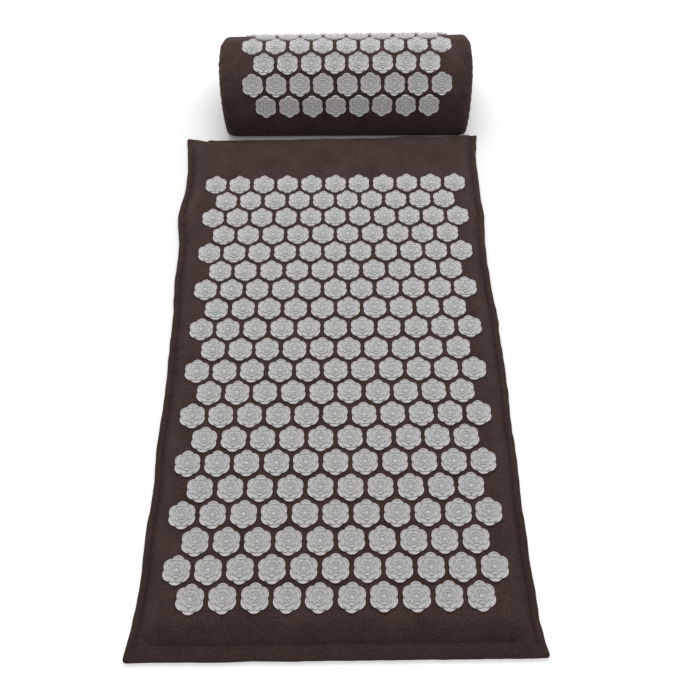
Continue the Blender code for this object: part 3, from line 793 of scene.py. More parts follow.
def disc_template():
    """One lotus disc at the origin: points, quads, triangles, and how pale each point is painted, as
    highlight and shade with grime.
    """
    angles = spoke_angles()
    spokes = len(angles)
    points = []
    painted_lights_and_grime = []
    for reach, height, painted_light_and_grime in disc_rings(angles):
        height = np.broadcast_to(height, angles.shape)
        points.append(np.stack([reach * np.cos(angles), reach * np.sin(angles), height], axis=1))
        painted_lights_and_grime.append(np.broadcast_to(painted_light_and_grime, angles.shape))
    rings = len(points)
    middles = [[0, 0, LEVELS[-1][2]], [0, 0, -DISC_SINK]]
    points = np.vstack(points + [middles])
    painted_lights_and_grime = np.concatenate(painted_lights_and_grime + [[1.0, WALL_PALENESS]])
    top = ring_fan((rings - 1) * spokes, spokes, rings * spokes)
    triangles = [top, ring_fan(0, spokes, rings * spokes + 1, under=True)]
    cone, cone_faces = spike_template()
    for x, y, foot in spike_places():
        spike = cone * (SPIKE_RADIUS, SPIKE_RADIUS, SPIKE_TOP - foot) + (x, y, foot)
        triangles.append(cone_faces + len(points))
        points = np.vstack([points, spike])
        painted_lights_and_grime = np.concatenate([painted_lights_and_grime, np.full(SPIKE_SIDES, SPIKE_PALENESS), [1.0]])
    return points, ring_quads(rings, spokes), np.vstack(triangles), painted_lights_and_grime


def place_disc(template, place, lean, draw):
    """The template's points on their spot, turned, tilted and shifted a little, as glued by hand."""
    turn = Matrix.Rotation(lean, 3, "X")
    turn = turn @ Matrix.Rotation(draw.uniform(-1, 1) * DISC_TILT, 3, "X")
    turn = turn @ Matrix.Rotation(draw.uniform(-1, 1) * DISC_TILT, 3, "Y")
    turn = turn @ Matrix.Rotation(draw.uniform(-1, 1) * DISC_TWIST, 3, "Z")
    shift = turn @ Vector((draw.uniform(-1, 1) * DISC_SHIFT, draw.uniform(-1, 1) * DISC_SHIFT, 0))
    return template @ np.array(turn).T + np.array(Vector(place) + shift)


def disc_row(node, middle, lean, body):
    """The discs of one row in place of its CAD node, about a middle whose x is the node's."""
    low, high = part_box(node)
    count = round((high.x - low.x) / DISC_PITCH)
    first = (low.x + high.x) / 2 - (count - 1) / 2 * DISC_PITCH
    template, quads, triangles, painted_lights_and_grime = TEMPLATE
    draw = random.Random(f"{SEED} {node}")
    points = []
    tints = []
    for index in range(count):
        place = (first + index * DISC_PITCH, middle.y, middle.z)
        points.append(place_disc(template, place, lean, draw))
        tints.append(np.full(len(template), draw.uniform(0, 1)))
    name = node.replace("disc_row", "lotus_discs")
    faces = [repeat_faces(block, count, len(template)) for block in (quads, triangles)]
    mesh = mesh_from_arrays(name, np.vstack(points), faces)
    mesh.set_sharp_from_angle(angle=DISC_CREASE)
    # The painted highlight and shade of each point, with grime
    set_numbers(mesh, "painted_light_and_grime", np.tile(painted_lights_and_grime, count))
    set_numbers(mesh, "tint", np.concatenate(tints))
    new_object(name, mesh, "disc", body, "disc_plastic", node)


def mat_discs():
    for node in sorted(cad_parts):
        if node.startswith("mat_disc_row"):
            low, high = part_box(node)
            middle = Vector((0, (low.y + high.y) / 2, MAT_THICKNESS))
            disc_row(node, middle, 0, "mat")


# Mat cover


def swell(along, bumps):
    """The sum of soft bumps along a line, each given by its place, breadth and height."""
    return sum(height * hump(along, place, breadth) for place, breadth, height in bumps)


def side_growth(b, side):
    """How far the cover's side lies outside half its width, at a place along the mat."""
    along = np.clip(2 * b / MAT_LENGTH, -1, 1)
    flare = np.where(along > 0, HEAD_FLARE, FOOT_FLARE)
    place, breadth, left, right = SIDE_SWELL
    out = (right if side > 0 else left) * hump(b, place, breadth)
    return flare * np.abs(along) ** FLARE_POWER + out + ripples(b, EDGE_WAVES, SIDE_SEED + side)


def mat_middle(b):
    """The mat's middle line, whose head half leans to the left."""
    return -HEAD_LEAN * ease(2 * b / MAT_LENGTH / LEAN_SHARE)


def insets(a, b):
    """Distances of a place on the flat cover from its nearer side, its foot edge and its head edge."""
    return MAT_WIDTH / 2 - np.abs(a), b + MAT_LENGTH / 2, MAT_LENGTH / 2 - b


def hem_share(a, b):
    """0 at the seam and 1 at the stitch line beside the hem."""
    side, foot, _ = insets(a, b)
    return np.minimum(side / SIDE_HEM, foot / FOOT_HEM)


def round_corner(inset_x, inset_y):
    """Draws places near a corner in, so that its outline is round."""
    across = np.clip(CORNER_ROUND - inset_x, 0, None)
    along = np.clip(CORNER_ROUND - inset_y, 0, None)
    far = np.hypot(across, along)
    pull = np.where((across > 0) & (along > 0), np.maximum(across, along) / np.maximum(far, TINY), 1)
    return inset_x + across * (1 - pull), inset_y + along * (1 - pull)


def mat_plan(a, b):
    """Where a place on the flat cover lies once it is filled and laid down."""
    side, foot, head = insets(a, b)
    inset_x, inset_y = round_corner(side, np.minimum(foot, head))
    zone = SIDE_HEM + PAD_RUN
    half = MAT_WIDTH / 2
    growth = np.where(a > 0, side_growth(b, 1), side_growth(b, -1))
    hold = np.clip((half - inset_x) / (half - zone), 0, 1)
    x = mat_middle(b) + np.where(a > 0, 1, -1) * (half - inset_x + growth * hold)
    bow = HEAD_EDGE_BOW * np.clip(1 - side / HEAD_BOW_RUN, 0, 1) ** HEAD_BOW_POWER
    head_sway = bow + swell(a, HEAD_SWAYS) + ripples(a, EDGE_WAVES, HEAD_SEED)
    foot_sway = FOOT_CALM * ripples(a, EDGE_WAVES, FOOT_SEED)
    sway = np.where(b > 0, np.maximum(head_sway, -HEAD_STRAY), foot_sway)
    half = MAT_LENGTH / 2
    hold = np.clip((half - inset_y - MIDDLE_SHARE * half) / ((1 - MIDDLE_SHARE) * half - zone), 0, 1)
    y = np.where(b > 0, 1, -1) * (half - inset_y + sway * hold)
    return x, y


def hem_height(share):
    """Height over the rolled hem, from the seam (0) to the stitch line (1)."""
    roll = SEAM_HEIGHT + (HEM_HEIGHT - SEAM_HEIGHT) * np.sqrt(slope(share / CREST_SHARE))
    down = np.clip((share - CREST_SHARE) / (1 - CREST_SHARE), 0, 1) ** 3
    return np.where(share < CREST_SHARE, roll, HEM_HEIGHT - (HEM_HEIGHT - STITCH_HEIGHT) * down)


def zip_inset(a, b):
    """How far inside the nearer end of the mouth for the zip a place on the cover lies."""
    x, _ = mat_plan(a, b)
    left, right = MAT_ZIP_ENDS
    return np.minimum(x - left, right - x)


def lip_height(a, b, parted):
    """The head edge's height: closed at the seam by the corners, and parted for the zip between."""
    return SEAM_HEIGHT + (parted - SEAM_HEIGHT) * ease(zip_inset(a, b) / MAT_ZIP_CORNER)


def zip_wall(a, b, head):
    """The height of the cover where the zip's tape stands behind it."""
    share = ease(1 + zip_inset(a, b) / (2 * MAT_ZIP_CORNER))
    lip = lip_height(a, b, ZIP_LIP)
    return lip + (ZIP_WALL - lip) * np.sqrt(slope(head / ZIP_WALL_RUN)) * share


def head_height(a, b):
    """The height of the cover's slope down to its head edge."""
    _, _, head = insets(a, b)
    lip = lip_height(a, b, ZIP_LIP)
    end = lip + (MAT_THICKNESS - lip) * slope(head / HEAD_RUN) ** (HEAD_POWER + swell(a, HEAD_SAGS))
    end = np.maximum(end, zip_wall(a, b, head))
    return end + ripples(a, HEAD_RIPPLES) * np.clip(head / LIP_TURN, 0, 1)


def mat_gathers(a, b):
    """The puckers on both sides of the stitch line."""
    side, foot, _ = insets(a, b)
    along = np.where(side / SIDE_HEM < foot / FOOT_HEM, b, a + GATHER_SHIFT)
    away = np.minimum(np.abs(side - SIDE_HEM), np.abs(foot - FOOT_HEM))
    rise = np.clip(hem_share(a, b), 0, GATHER_SHARE) / GATHER_SHARE
    return ripples(along, MAT_GATHERS) * np.exp(-away / GATHER_FADE) * rise


def mat_top_height(a, b):
    """The height of the mat's top: a rolled hem, a sunk stitch line and the padded field inside it."""
    side, foot, head = insets(a, b)
    hem = hem_share(a, b)
    inside = np.minimum(side - SIDE_HEM, foot - FOOT_HEM)
    short_x = np.clip(PAD_RUN - (side - SIDE_HEM), 0, None)
    short_y = np.clip(PAD_RUN - (foot - FOOT_HEM), 0, None)
    inside = np.where(inside > 0, PAD_RUN - np.hypot(short_x, short_y), inside) / PAD_RUN
    rise = PAD_EASE * ease(inside) + (1 - PAD_EASE) * slope(inside)
    pad = STITCH_HEIGHT + (MAT_THICKNESS - STITCH_HEIGHT) * rise
    flat = np.minimum(hem_height(hem), STITCH_HEIGHT)
    roll = flat + (hem_height(hem) - flat) * ease(head / HEM_FADE)
    z = np.where(hem < 1, roll, pad) + mat_gathers(a, b)
    height, length, seed = MAT_WAVES
    z = z + height * waves(a, b, length, seed) * np.clip(inside, 0, 1)
    return np.minimum(z, head_height(a, b))


def mat_base_height(a, b):
    """The underside lies on the floor and turns up at the hem to meet the seam."""
    _, _, head = insets(a, b)
    z = SEAM_HEIGHT * (1 - np.sqrt(slope(hem_share(a, b) / CREST_SHARE)))
    end = lip_height(a, b, ZIP_LOW_LIP) * np.clip(1 - head / LIP_TURN, 0, 1) ** 2
    return np.maximum(z, end)


def mat_surface(a, b):
    return np.stack([*mat_plan(a, b), mat_top_height(a, b)], axis=-1)


def cover_lines(length, low_hem, high_hem):
    """Places of the grid lines along one direction of the cover, close together at its edges."""
    places = []
    for hem, way in ((low_hem, -1), (high_hem, 1)):
        if hem:
            near = [share * hem for share in HEM_LINE_SHARES]
            near += [hem + share * PAD_RUN for share in SLOPE_LINE_SHARES]
        else:
            near = [share * HEAD_RUN for share in HEAD_LINE_SHARES]
        places.append([way * (length / 2 - place) for place in near])
    first, last = places[0][-1], places[1][-1]
    steps = round((last - first) / GRID_STEP)
    middle = list(np.linspace(first, last, steps + 1)[1:-1])
    return np.array(places[0] + middle + places[1][::-1])


def cover_painted_shade(a, b):
    """Where painted shade darkens the cotton: on the hem, and most in the groove beside it."""
    hem = hem_share(a, b)
    painted_shade = HEM_PAINTED_SHADE * ease((HEM_SHADE_REACH - hem) / HEM_SHADE_FADE)
    return painted_shade + GROOVE_PAINTED_SHADE * hump(hem, 1, GROOVE_SHADE_FADE)


def mat_cover():
    columns = cover_lines(MAT_WIDTH, SIDE_HEM, SIDE_HEM)
    rows = cover_lines(MAT_LENGTH, FOOT_HEM, 0)
    a, b = np.meshgrid(columns, rows)
    faces = [grid_faces(*a.shape)]
    # Painted shade on the hem and in the groove beside it
    painted_shade = cover_painted_shade(a, b)
    top = cotton_piece("mat_cover_top", "mat_top_panel", "mat", mat_surface(a, b), faces, (a, b), painted_shade)
    under = np.stack([*mat_plan(a, b), mat_base_height(a, b)], axis=-1)
    faces = [grid_faces(*a.shape, flip=True)]
    cotton_piece("mat_cover_base", "mat_bottom_panel", "mat", under, faces, (a, b))


# Pillow


def pillow_place():
    """The middle of the filled pillow's foot on the floor, and its length."""
    low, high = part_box("pillow_base_panel")
    left, right = low.x - PILLOW_END_REACH[0], high.x + PILLOW_END_REACH[1]
    return Vector(((left + right) / 2, (low.y + high.y) / 2, 0)), right - left


def arch_track(depth, height):
    """Half the pillow's section: distance down from the crown, how far out, and how high."""
    angle = np.linspace(math.pi / 2, math.pi, ARCH_STEPS)
    z = height * np.sin(angle).clip(0) ** (2 / ARCH_POWER)
    y = np.abs(np.cos(angle)) ** (2 / ARCH_POWER) * depth / 2
    y = y + PILLOW_BULGE * np.sin(math.pi * z / height)
    return distances(np.column_stack([y, z])), y, z


def arch_at(distance):
    """Points of the section at distances from the crown, minus for the front."""
    far, out, up = ARCH
    distance = np.asarray(distance, float)
    y = np.sign(distance) * np.interp(np.abs(distance), far, out)
    return y, np.interp(np.abs(distance), far, up)


def arch_distance(height):
    far, _, up = ARCH
    return float(np.interp(-height, -up, far))


def flat_edges():
    """Distances from the crown of the edges of the flats that the disc rows lie on."""
    return (np.arange(PILLOW_ROWS + 1) - PILLOW_ROWS / 2) * ROW_PITCH


def tuck(height):
    """How far the front's lower edge is drawn back at a height, where it turns under."""
    fall = np.clip(PILLOW_TUCK - height, 0, PILLOW_TUCK)
    return PILLOW_TUCK - np.sqrt(PILLOW_TUCK**2 - fall**2)


def foot_turn(x, height):
    """How far the front's foot is turned to the back, at a place along the pillow and a height."""
    return -FOOT_TURN * 2 * x / PILLOW_LENGTH * ease(1 - height / FOOT_TURN_HEIGHT)


def section_at(distance):
    """The cover's section: flats under the disc rows, blended into one another."""
    edges = flat_edges()
    reach = ARCH[0][-1]
    dense = np.arange(-reach, reach + ARCH_STEP, ARCH_STEP)
    half = round(FLAT_BLEND / ARCH_STEP)
    window = np.hanning(2 * half + 3)[1:-1]
    window /= window.sum()
    share = np.clip((edges[-1] + 2 * FLAT_BLEND - np.abs(dense)) / FLAT_BLEND, 0, 1)
    section = []
    for arched, corners in zip(arch_at(dense), arch_at(edges)):
        flat = np.where(np.abs(dense) <= edges[-1], np.interp(dense, edges, corners), arched)
        smooth = np.convolve(np.pad(flat, half, mode="edge"), window, mode="valid")
        section.append(flat + (smooth - flat) * share)
    y, z = section
    y = y + np.where(dense < 0, tuck(z), 0)
    return np.interp(distance, dense, y), np.interp(distance, dense, z)


def drawn_in(y, z, draw):
    """Section points drawn in towards the middle of the base, as the cover is at its ends."""
    across = 1 - 2 * draw / PILLOW_DEPTH
    turn = draw * RIM_TURN_SHARE
    up = 1 - (draw + turn) / PILLOW_HEIGHT
    return y * across, PILLOW_RIM + turn + (z - PILLOW_RIM) * up


def end_draw(inset):
    """How far the section is drawn in at a distance from the pillow's end."""
    share = np.clip(inset / PILLOW_ROUND, 0, 1)
    return PILLOW_DRAW * (1 - np.sqrt(1 - (1 - share) ** END_POWER))


def pillow_stations():
    """Places of the cover's rings along the pillow, from its left end to its right."""
    half = PILLOW_LENGTH / 2
    end = [half - share * PILLOW_ROUND for share in END_LINE_SHARES]
    steps = round(2 * end[-1] / GRID_STEP)
    middle = list(np.linspace(-end[-1], end[-1], steps + 1)[1:-1])
    return np.array([-x for x in end] + middle + end[::-1])


def back_height(x):
    """Height of the cover's lower back edge, which is lifted along the zip."""
    zip_end = PILLOW_LENGTH / 2 - PILLOW_ZIP_INSET
    share = ease((zip_end + PILLOW_ZIP_CORNER - np.abs(x)) / PILLOW_ZIP_CORNER)
    return PILLOW_RIM + (ZIP_LIP - PILLOW_RIM) * share


def pillow_relief(x, s):
    """Soft unevenness of the cover, and gathers along its end seams."""
    gathers = ripples(s, PILLOW_GATHERS) * hump(PILLOW_LENGTH / 2 - np.abs(x), *GATHER_BAND)
    height, length, seed = PILLOW_WAVES
    return gathers + height * waves(x, s, length, seed)


def pillow_point(x, s):
    """The cover's outer point at a place along the pillow and a distance round its section."""
    y, z = section_at(s)
    ahead_y, ahead_z = section_at(s + 2 * SURFACE_STEP)
    slope_y, slope_z = ahead_y - y, ahead_z - z
    length = np.maximum(np.hypot(slope_y, slope_z), TINY)
    relief = pillow_relief(x, s) * np.clip((z - PILLOW_RIM) / RELIEF_RUN, 0, 1)
    y = y - slope_z / length * relief
    z = z + slope_y / length * relief
    y = y + np.where(s < 0, foot_turn(x, z), 0)
    y, z = drawn_in(y, z, end_draw(PILLOW_LENGTH / 2 - np.abs(x)))
    return x, y, z


def section_places(x):
    """Distances round the section of the cover's grid lines at one place along the pillow."""
    front = arch_distance(PILLOW_RIM)
    back = np.interp(-back_height(x), -ARCH[2], ARCH[0])
    edges = flat_edges()
    first, last = edges[0], edges[-1]
    flats = np.linspace(first, last, round((last - first) / GRID_STEP) + 1)
    share = np.linspace(0, 1, round((front - last) / GRID_STEP) + 1)[1:]
    return np.concatenate((first - (front + first) * share[::-1], flats, last + (back - last) * share))


def pillow_cover():
    stations = pillow_stations()
    s = np.array([section_places(x) for x in stations])
    x, y, z = pillow_point(np.repeat(stations[:, None], s.shape[1], axis=1), s)
    x[0] += END_SEAM_DEPTH
    x[-1] -= END_SEAM_DEPTH
    points = np.stack([x, y, z], axis=-1) + np.array(PILLOW_PLACE)
    faces = [grid_faces(*s.shape, flip=True)]
    cover = cotton_piece("pillow_cover_arched", "pillow_top_panel", "pillow", points, faces, (x, s))


def end_outline():
    """The mouth of the cover at its end, closed along the base: y, z and the distance round it."""
    s = section_places(np.array(PILLOW_LENGTH / 2))
    _, y, z = pillow_point(np.full(s.shape, PILLOW_LENGTH / 2), s)
    steps = round((y[-1] - y[0]) / GRID_STEP)
    base = np.linspace(y[-1], y[0], steps + 1)[1:-1]
    y = np.concatenate((y, base))
    z = np.concatenate((z, np.full(len(base), z[0])))
    return y, z, distances(np.column_stack([y, z]))


def pillow_end(side, name, node):
    """A D-shaped panel sewn into the cover's mouth, puckered along its seam."""
    y, z, far = end_outline()
    middle_z = PILLOW_HEIGHT * END_MIDDLE_SHARE
    count = len(y)
    points = []
    for share in PANEL_RING_SHARES:
        seam = np.clip((share - END_SEAM_SHARE) / (1 - END_SEAM_SHARE), 0, 1)
        rise = PILLOW_END_CROWN * (1 - share**3) - END_SEAM_DEPTH * seam
        pucker = ripples(far, END_PUCKERS, side) * hump(share, *PUCKER_SHARES)
        x = side * (PILLOW_LENGTH / 2 + rise + pucker)
        points.append(np.stack([x, y * share, middle_z + (z - middle_z) * share], axis=1))
    points.append([[side * (PILLOW_LENGTH / 2 + PILLOW_END_CROWN), 0, middle_z]])
    points = np.vstack(points)
    levels = len(PANEL_RING_SHARES)
    quads = np.roll(ring_quads(levels, count), -1, axis=1)
    if side > 0:
        quads = quads[:, ::-1]
    fan = ring_fan((levels - 1) * count, count, levels * count, under=side > 0)
    flat = (points[:, 1], points[:, 2])
    panel = cotton_piece(name, node, "pillow", points + np.array(PILLOW_PLACE), [quads, fan], flat)


def pillow_base():
    """The panel that the pillow stands on, turned up at its edges to meet the cover."""
    x = pillow_stations()
    half = PILLOW_DEPTH / 2
    edge = half - tuck(PILLOW_RIM)
    front = -edge + (edge - half + PILLOW_TUCK) * np.linspace(0, 1, TUCK_STEPS)
    back = half - PILLOW_BASE_EDGE * np.array(BASE_EDGE_SHARES)
    steps = round((back[-1] - front[-1]) / GRID_STEP)
    y = np.concatenate((front, np.linspace(front[-1], back[-1], steps + 1)[1:-1], back[::-1]))
    x, y = np.meshgrid(x, y, indexing="ij")
    turned = y + foot_turn(x, 0) * np.clip(-y / half, 0, 1)
    lift = 1 - np.sqrt(slope((half - y) / PILLOW_BASE_EDGE))
    lip = ZIP_LOW_LIP * (back_height(x) - PILLOW_RIM) / (ZIP_LIP - PILLOW_RIM)
    z = np.where(y < 0, tuck(y + half), lift * np.maximum(lip, PILLOW_RIM))
    draw = end_draw(PILLOW_LENGTH / 2 - np.abs(x))
    narrow = 1 - 2 * draw / PILLOW_DEPTH
    points = np.stack([x, turned * narrow, z + draw * RIM_TURN_SHARE], axis=-1) + np.array(PILLOW_PLACE)
    faces = [grid_faces(*x.shape)]
    cotton_piece("pillow_base_cloth", "pillow_base_panel", "pillow", points, faces, (x, y))


def pillow_discs():
    y, z = arch_at(flat_edges())
    for row in range(PILLOW_ROWS):
        node = f"pillow_disc_row_{row + 1}"
        middle = Vector((0, (y[row] + y[row + 1]) / 2, (z[row] + z[row + 1]) / 2))
        lean = math.atan2(z[row + 1] - z[row], y[row + 1] - y[row])
        disc_row(node, PILLOW_PLACE + middle, lean, "pillow")


# Stitches


def stitch_template():
    """One stitch along its own X: a rounded rod that bends down at its ends."""
    angles = np.arange(STITCH_SIDES) * 2 * math.pi / STITCH_SIDES
    rings = []
    for station, radius in STITCH_SHARES:
        y = radius * STITCH_RADIUS * np.cos(angles)
        z = radius * STITCH_RADIUS * np.sin(angles) - STITCH_RADIUS * STITCH_BEND_SHARE * station**2
        rings.append(np.stack([np.full(STITCH_SIDES, station * STITCH_LENGTH / 2), y, z], axis=1))
    cap = end_cap(STITCH_SIDES)
    last = (len(rings) - 1) * STITCH_SIDES
    return np.vstack(rings), np.vstack([ring_quads(len(rings), STITCH_SIDES), cap[:, ::-1], cap + last])


def stitch_runs(name, runs, body):
    """Stitches along lines on the cover, each given as its points and the cover's normals there."""
    template, faces = stitch_template()
    points = []
    for line, normals in runs:
        far = distances(line)
        for index in range(int((far[-1] - STITCH_LENGTH) / STITCH_PITCH) + 1):
            middle = STITCH_LENGTH / 2 + index * STITCH_PITCH
            places = [along_line(middle + way * STITCH_LENGTH / 2, far, line) for way in (-1, 1, 0)]
            along = unit(places[1] - places[0])
            side = unit(np.cross(along_line(middle, far, normals), along))
            turn = np.stack([along, side, np.cross(along, side)], axis=0)
            points.append(template @ turn + sum(places) / len(places) + turn[2] * STITCH_SINK)
    mesh = mesh_from_arrays(name, np.vstack(points), [repeat_faces(faces, len(points), len(template))])
    new_object(name, mesh, "thread", body, "cover_cotton")


def on_mat(a, b):
    """A line on the mat's cover and the cover's normals along it."""
    line = mat_surface(a, b)
    across = mat_surface(a + SURFACE_STEP, b) - line
    return line, unit(np.cross(across, mat_surface(a, b + SURFACE_STEP) - line))


def mat_stitches():
    """One line of stitches round both sides and the foot, and one along the zip."""
    half_width = MAT_WIDTH / 2 - SIDE_HEM
    foot = -MAT_LENGTH / 2 + FOOT_HEM
    head = MAT_LENGTH / 2 - STITCH_LENGTH
    along = np.arange(foot, head, STITCH_LINE_STEP)
    across = np.arange(-half_width, half_width, STITCH_LINE_STEP)
    lip = MAT_LENGTH / 2 - LIP_STITCH_INSET
    zip_half = MAT_ZIP_ENDS[1] - 2 * MAT_ZIP_CORNER - HEAD_FLARE
    zip_line = HEAD_LEAN + np.arange(-zip_half, zip_half, STITCH_LINE_STEP)
    runs = [
        on_mat(np.full(along.shape, -half_width), along),
        on_mat(across, np.full(across.shape, foot)),
        on_mat(np.full(along.shape, half_width), along),
        on_mat(zip_line, np.full(zip_line.shape, lip)),
    ]
    stitch_runs("mat_stitches", runs, "mat")


def pillow_stitches():
    """A line of stitches above the zip."""
    half = PILLOW_LENGTH / 2 - PILLOW_ZIP_INSET
    x = np.arange(-half, half, STITCH_LINE_STEP)
    s = np.full(x.shape, arch_distance(ZIP_LIP + LIP_STITCH_RISE))
    line = np.stack(pillow_point(x, s), axis=1)
    ahead = np.stack(pillow_point(x, s + SURFACE_STEP), axis=1) - line
    normals = unit(np.cross(ahead, [-1.0, 0, 0]))
    stitch_runs("pillow_stitches", [(line + np.array(PILLOW_PLACE), normals)], "pillow")


# Foam


def add_foam(name, node, body, rings):
    """A foam block lofted through rings and closed at both ends."""
    levels, count = len(rings), len(rings[0])
    points = np.vstack(rings + [[rings[0].mean(axis=0), rings[-1].mean(axis=0)]])
    base = ring_fan(0, count, levels * count, under=True)
    top = ring_fan((levels - 1) * count, count, levels * count + 1)
    mesh = mesh_from_arrays(name, points, [ring_quads(levels, count), np.vstack([base, top])])
    new_object(name, mesh, "foam", body, "foam", node)


def mat_foam():
    """A flat slab whose edges slope like the cover over them."""
    low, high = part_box("mat_foam_core")
    half = np.array([MAT_WIDTH / 2 - SIDE_HEM - MAT_FOAM_INSET, (high.y - low.y) / 2])
    around = np.linspace(-1, 1, MAT_FOAM_STEPS + 1)[:-1]
    still = np.ones(MAT_FOAM_STEPS)
    sides = ((around, -still), (still, around), (-around, still), (-still, -around))
    outline = np.concatenate([np.stack(side, axis=1) for side in sides])
    levels = []
    for share, cut in MAT_FOAM_SHARES:
        x, y = (outline * (half - cut * PAD_RUN)).T
        y = y + (low.y + high.y) / 2
        z = np.full(len(x), low.z + (high.z - low.z) * share)
        levels.append(np.column_stack([x + mat_middle(y), y, z]))
    add_foam("mat_foam", "mat_foam_core", "mat", levels)


def pillow_foam():
    """The arched block, cut back at its lower back edge to clear the zip."""
    half = PILLOW_LENGTH / 2 - PILLOW_FOAM_GAP
    ends = [(half - share * PILLOW_ROUND, draw * PILLOW_DRAW + PILLOW_FOAM_INSET)
            for share, draw in PILLOW_FOAM_SHARES]
    s = np.linspace(-arch_distance(PILLOW_RIM), arch_distance(ZIP_LIP + PILLOW_FOAM_CUT), PILLOW_FOAM_STEPS)
    y, z = section_at(s)
    y = np.append(y, y[-1] - PILLOW_FOAM_CUT)
    z = np.append(z, PILLOW_RIM)
    sections = []
    for x, draw in [(-x, draw) for x, draw in ends] + ends[::-1]:
        section = np.column_stack([np.full(len(y), x), *drawn_in(y, z, draw)])
        sections.append(section + np.array(PILLOW_PLACE))
    add_foam("pillow_foam", "pillow_foam_core", "pillow", sections)


# Zips


def form_object(node, ending, form, body):
    """A cast metal piece in place of its CAD node."""
    name = f"{node}_{ending}"
    mesh = bpy.data.meshes.new(name)
    bmesh.ops.recalc_face_normals(form, faces=form.faces)
    form.to_mesh(mesh)
    form.free()
    mesh.shade_smooth()
    mesh.set_sharp_from_angle(angle=METAL_CREASE)
    new_object(name, mesh, "enamel", body, "zip_metal", node)


def neighbours(ring):
    """Each point of a closed ring with the one after it."""
    return list(zip(ring, ring[1:] + ring[:1]))


def add_band(form, first, second):
    """Faces between two closed rings of as many points."""
    for (start, after), (inner, inner_after) in zip(neighbours(first), neighbours(second)):
        form.faces.new((start, after, inner_after, inner))


def add_plate(form, outline, low, high, bevel, hole=None, upright=False):
    """A bevelled plate: its outline in x and z, thick from low to high along y.

    An upright plate has its outline in x and y and is thick along z.
    """
    rings = []
    for points in (outline, hole) if hole else (outline,):
        for level in (low, high):
            places = [(x, y, level) if upright else (x, level, y) for x, y in points]
            rings.append([form.verts.new(place) for place in places])
    if hole:
        add_band(form, rings[0], rings[2])
        add_band(form, rings[1], rings[3])
    else:
        form.faces.new(rings[0])
        form.faces.new(rings[1])
    for first, second in zip(rings[::2], rings[1::2]):
        add_band(form, first, second)
    edges = [form.edges.get(pair) for ring in rings for pair in neighbours(ring)]
    settings = {"segments": BEVEL_STEPS, "profile": BEVEL_PROFILE, "affect": "EDGES"}
    bmesh.ops.bevel(form, geom=edges, offset=bevel, **settings)


def mirrored(shares, start, length):
    """An outline from half of one: up one side and back down the other."""
    upper = [(start + share * length, width) for share, width in shares]
    return upper + [(x, -width) for x, width in upper[::-1]]


def circle(radius, place=(0, 0), count=TAB_STEPS):
    angles = [2 * math.pi * index / count for index in range(count)]
    return [(place[0] + radius * math.cos(a), place[1] + radius * math.sin(a)) for a in angles]


def add_box(form, low, high, bevel):
    outline = [(low[0], low[2]), (high[0], low[2]), (high[0], high[2]), (low[0], high[2])]
    add_plate(form, outline, low[1], high[1], bevel)


def zip_slider(prefix, body):
    """Front and back plates on a neck, with two ears that hold the tab's pin. Gives its place."""
    node = f"{prefix}_zip_slider"
    low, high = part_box(node)
    face = low.y + SLIDER_PLATE + CLEARANCE + TAPE_THICKNESS
    place = Vector(((low.x + high.x) / 2, face, (low.z + high.z) / 2))
    form = bmesh.new()
    outline = mirrored(SLIDER_OUTLINE, -SLIDER_LENGTH / 2, SLIDER_LENGTH)
    add_plate(form, outline, PLATE_FACE - SLIDER_PLATE, PLATE_FACE, SLIDER_BEVEL)
    back = -TAPE_THICKNESS - CLEARANCE
    add_plate(form, outline, back - SLIDER_PLATE, back, SLIDER_BEVEL)
    foot = PLATE_FACE - SLIDER_BEVEL
    length, width = SLIDER_NECK_LENGTH / 2, SLIDER_NECK / 2
    add_box(form, (-length, back - SLIDER_BEVEL, -width), (length, foot, width), SLIDER_NECK_BEVEL)
    bends = np.linspace(0, math.pi, EAR_STEPS)
    top = [(KNUCKLE_RADIUS * math.cos(a), PIN_HEIGHT + KNUCKLE_RADIUS * math.sin(a)) for a in bends]
    reach = KNUCKLE_RADIUS * EAR_FOOT_SHARE
    ear = [(reach, foot)] + top + [(-reach, foot)]
    inner = KNUCKLE_WIDTH / 2 + CLEARANCE
    for way in (-1, 1):
        near, far = sorted((way * inner, way * (inner + EAR_WIDTH)))
        add_plate(form, ear, near, far, EAR_BEVEL, upright=True)
    pin = inner + EAR_WIDTH * PIN_REACH_SHARE
    add_plate(form, circle(PIN_RADIUS, (0, PIN_HEIGHT), PIN_SIDES), -pin, pin, PIN_BEVEL, upright=True)
    bmesh.ops.translate(form, vec=place, verts=form.verts)
    form_object(node, "cast", form, body)
    return place


def zip_tab(prefix, place, body):
    """The pull tab: a knuckle round the pin, a shank and a blade with an oval hole."""
    form = bmesh.new()
    half = TAB_THICKNESS / 2
    outline, hole = (mirrored(shares, TAB_START, TAB_LENGTH) for shares in (TAB_OUTLINE, TAB_HOLE))
    add_plate(form, outline, -half, half, TAB_BEVEL, hole=hole)
    width = KNUCKLE_WIDTH / 2
    bore = circle(PIN_RADIUS + CLEARANCE / 2)
    add_plate(form, circle(KNUCKLE_RADIUS), -width, width, KNUCKLE_BEVEL, hole=bore, upright=True)
    thick, wide = half * SHANK_SHARES[0], width * SHANK_SHARES[1]
    add_box(form, (SHANK_START, -thick, -wide), (TAB_START + SHANK_LAP, thick, wide), SHANK_BEVEL)
    bmesh.ops.translate(form, vec=place + Vector((0, PIN_HEIGHT, 0)), verts=form.verts)
    form_object(f"{prefix}_zip_pull_tab", "blade", form, body)


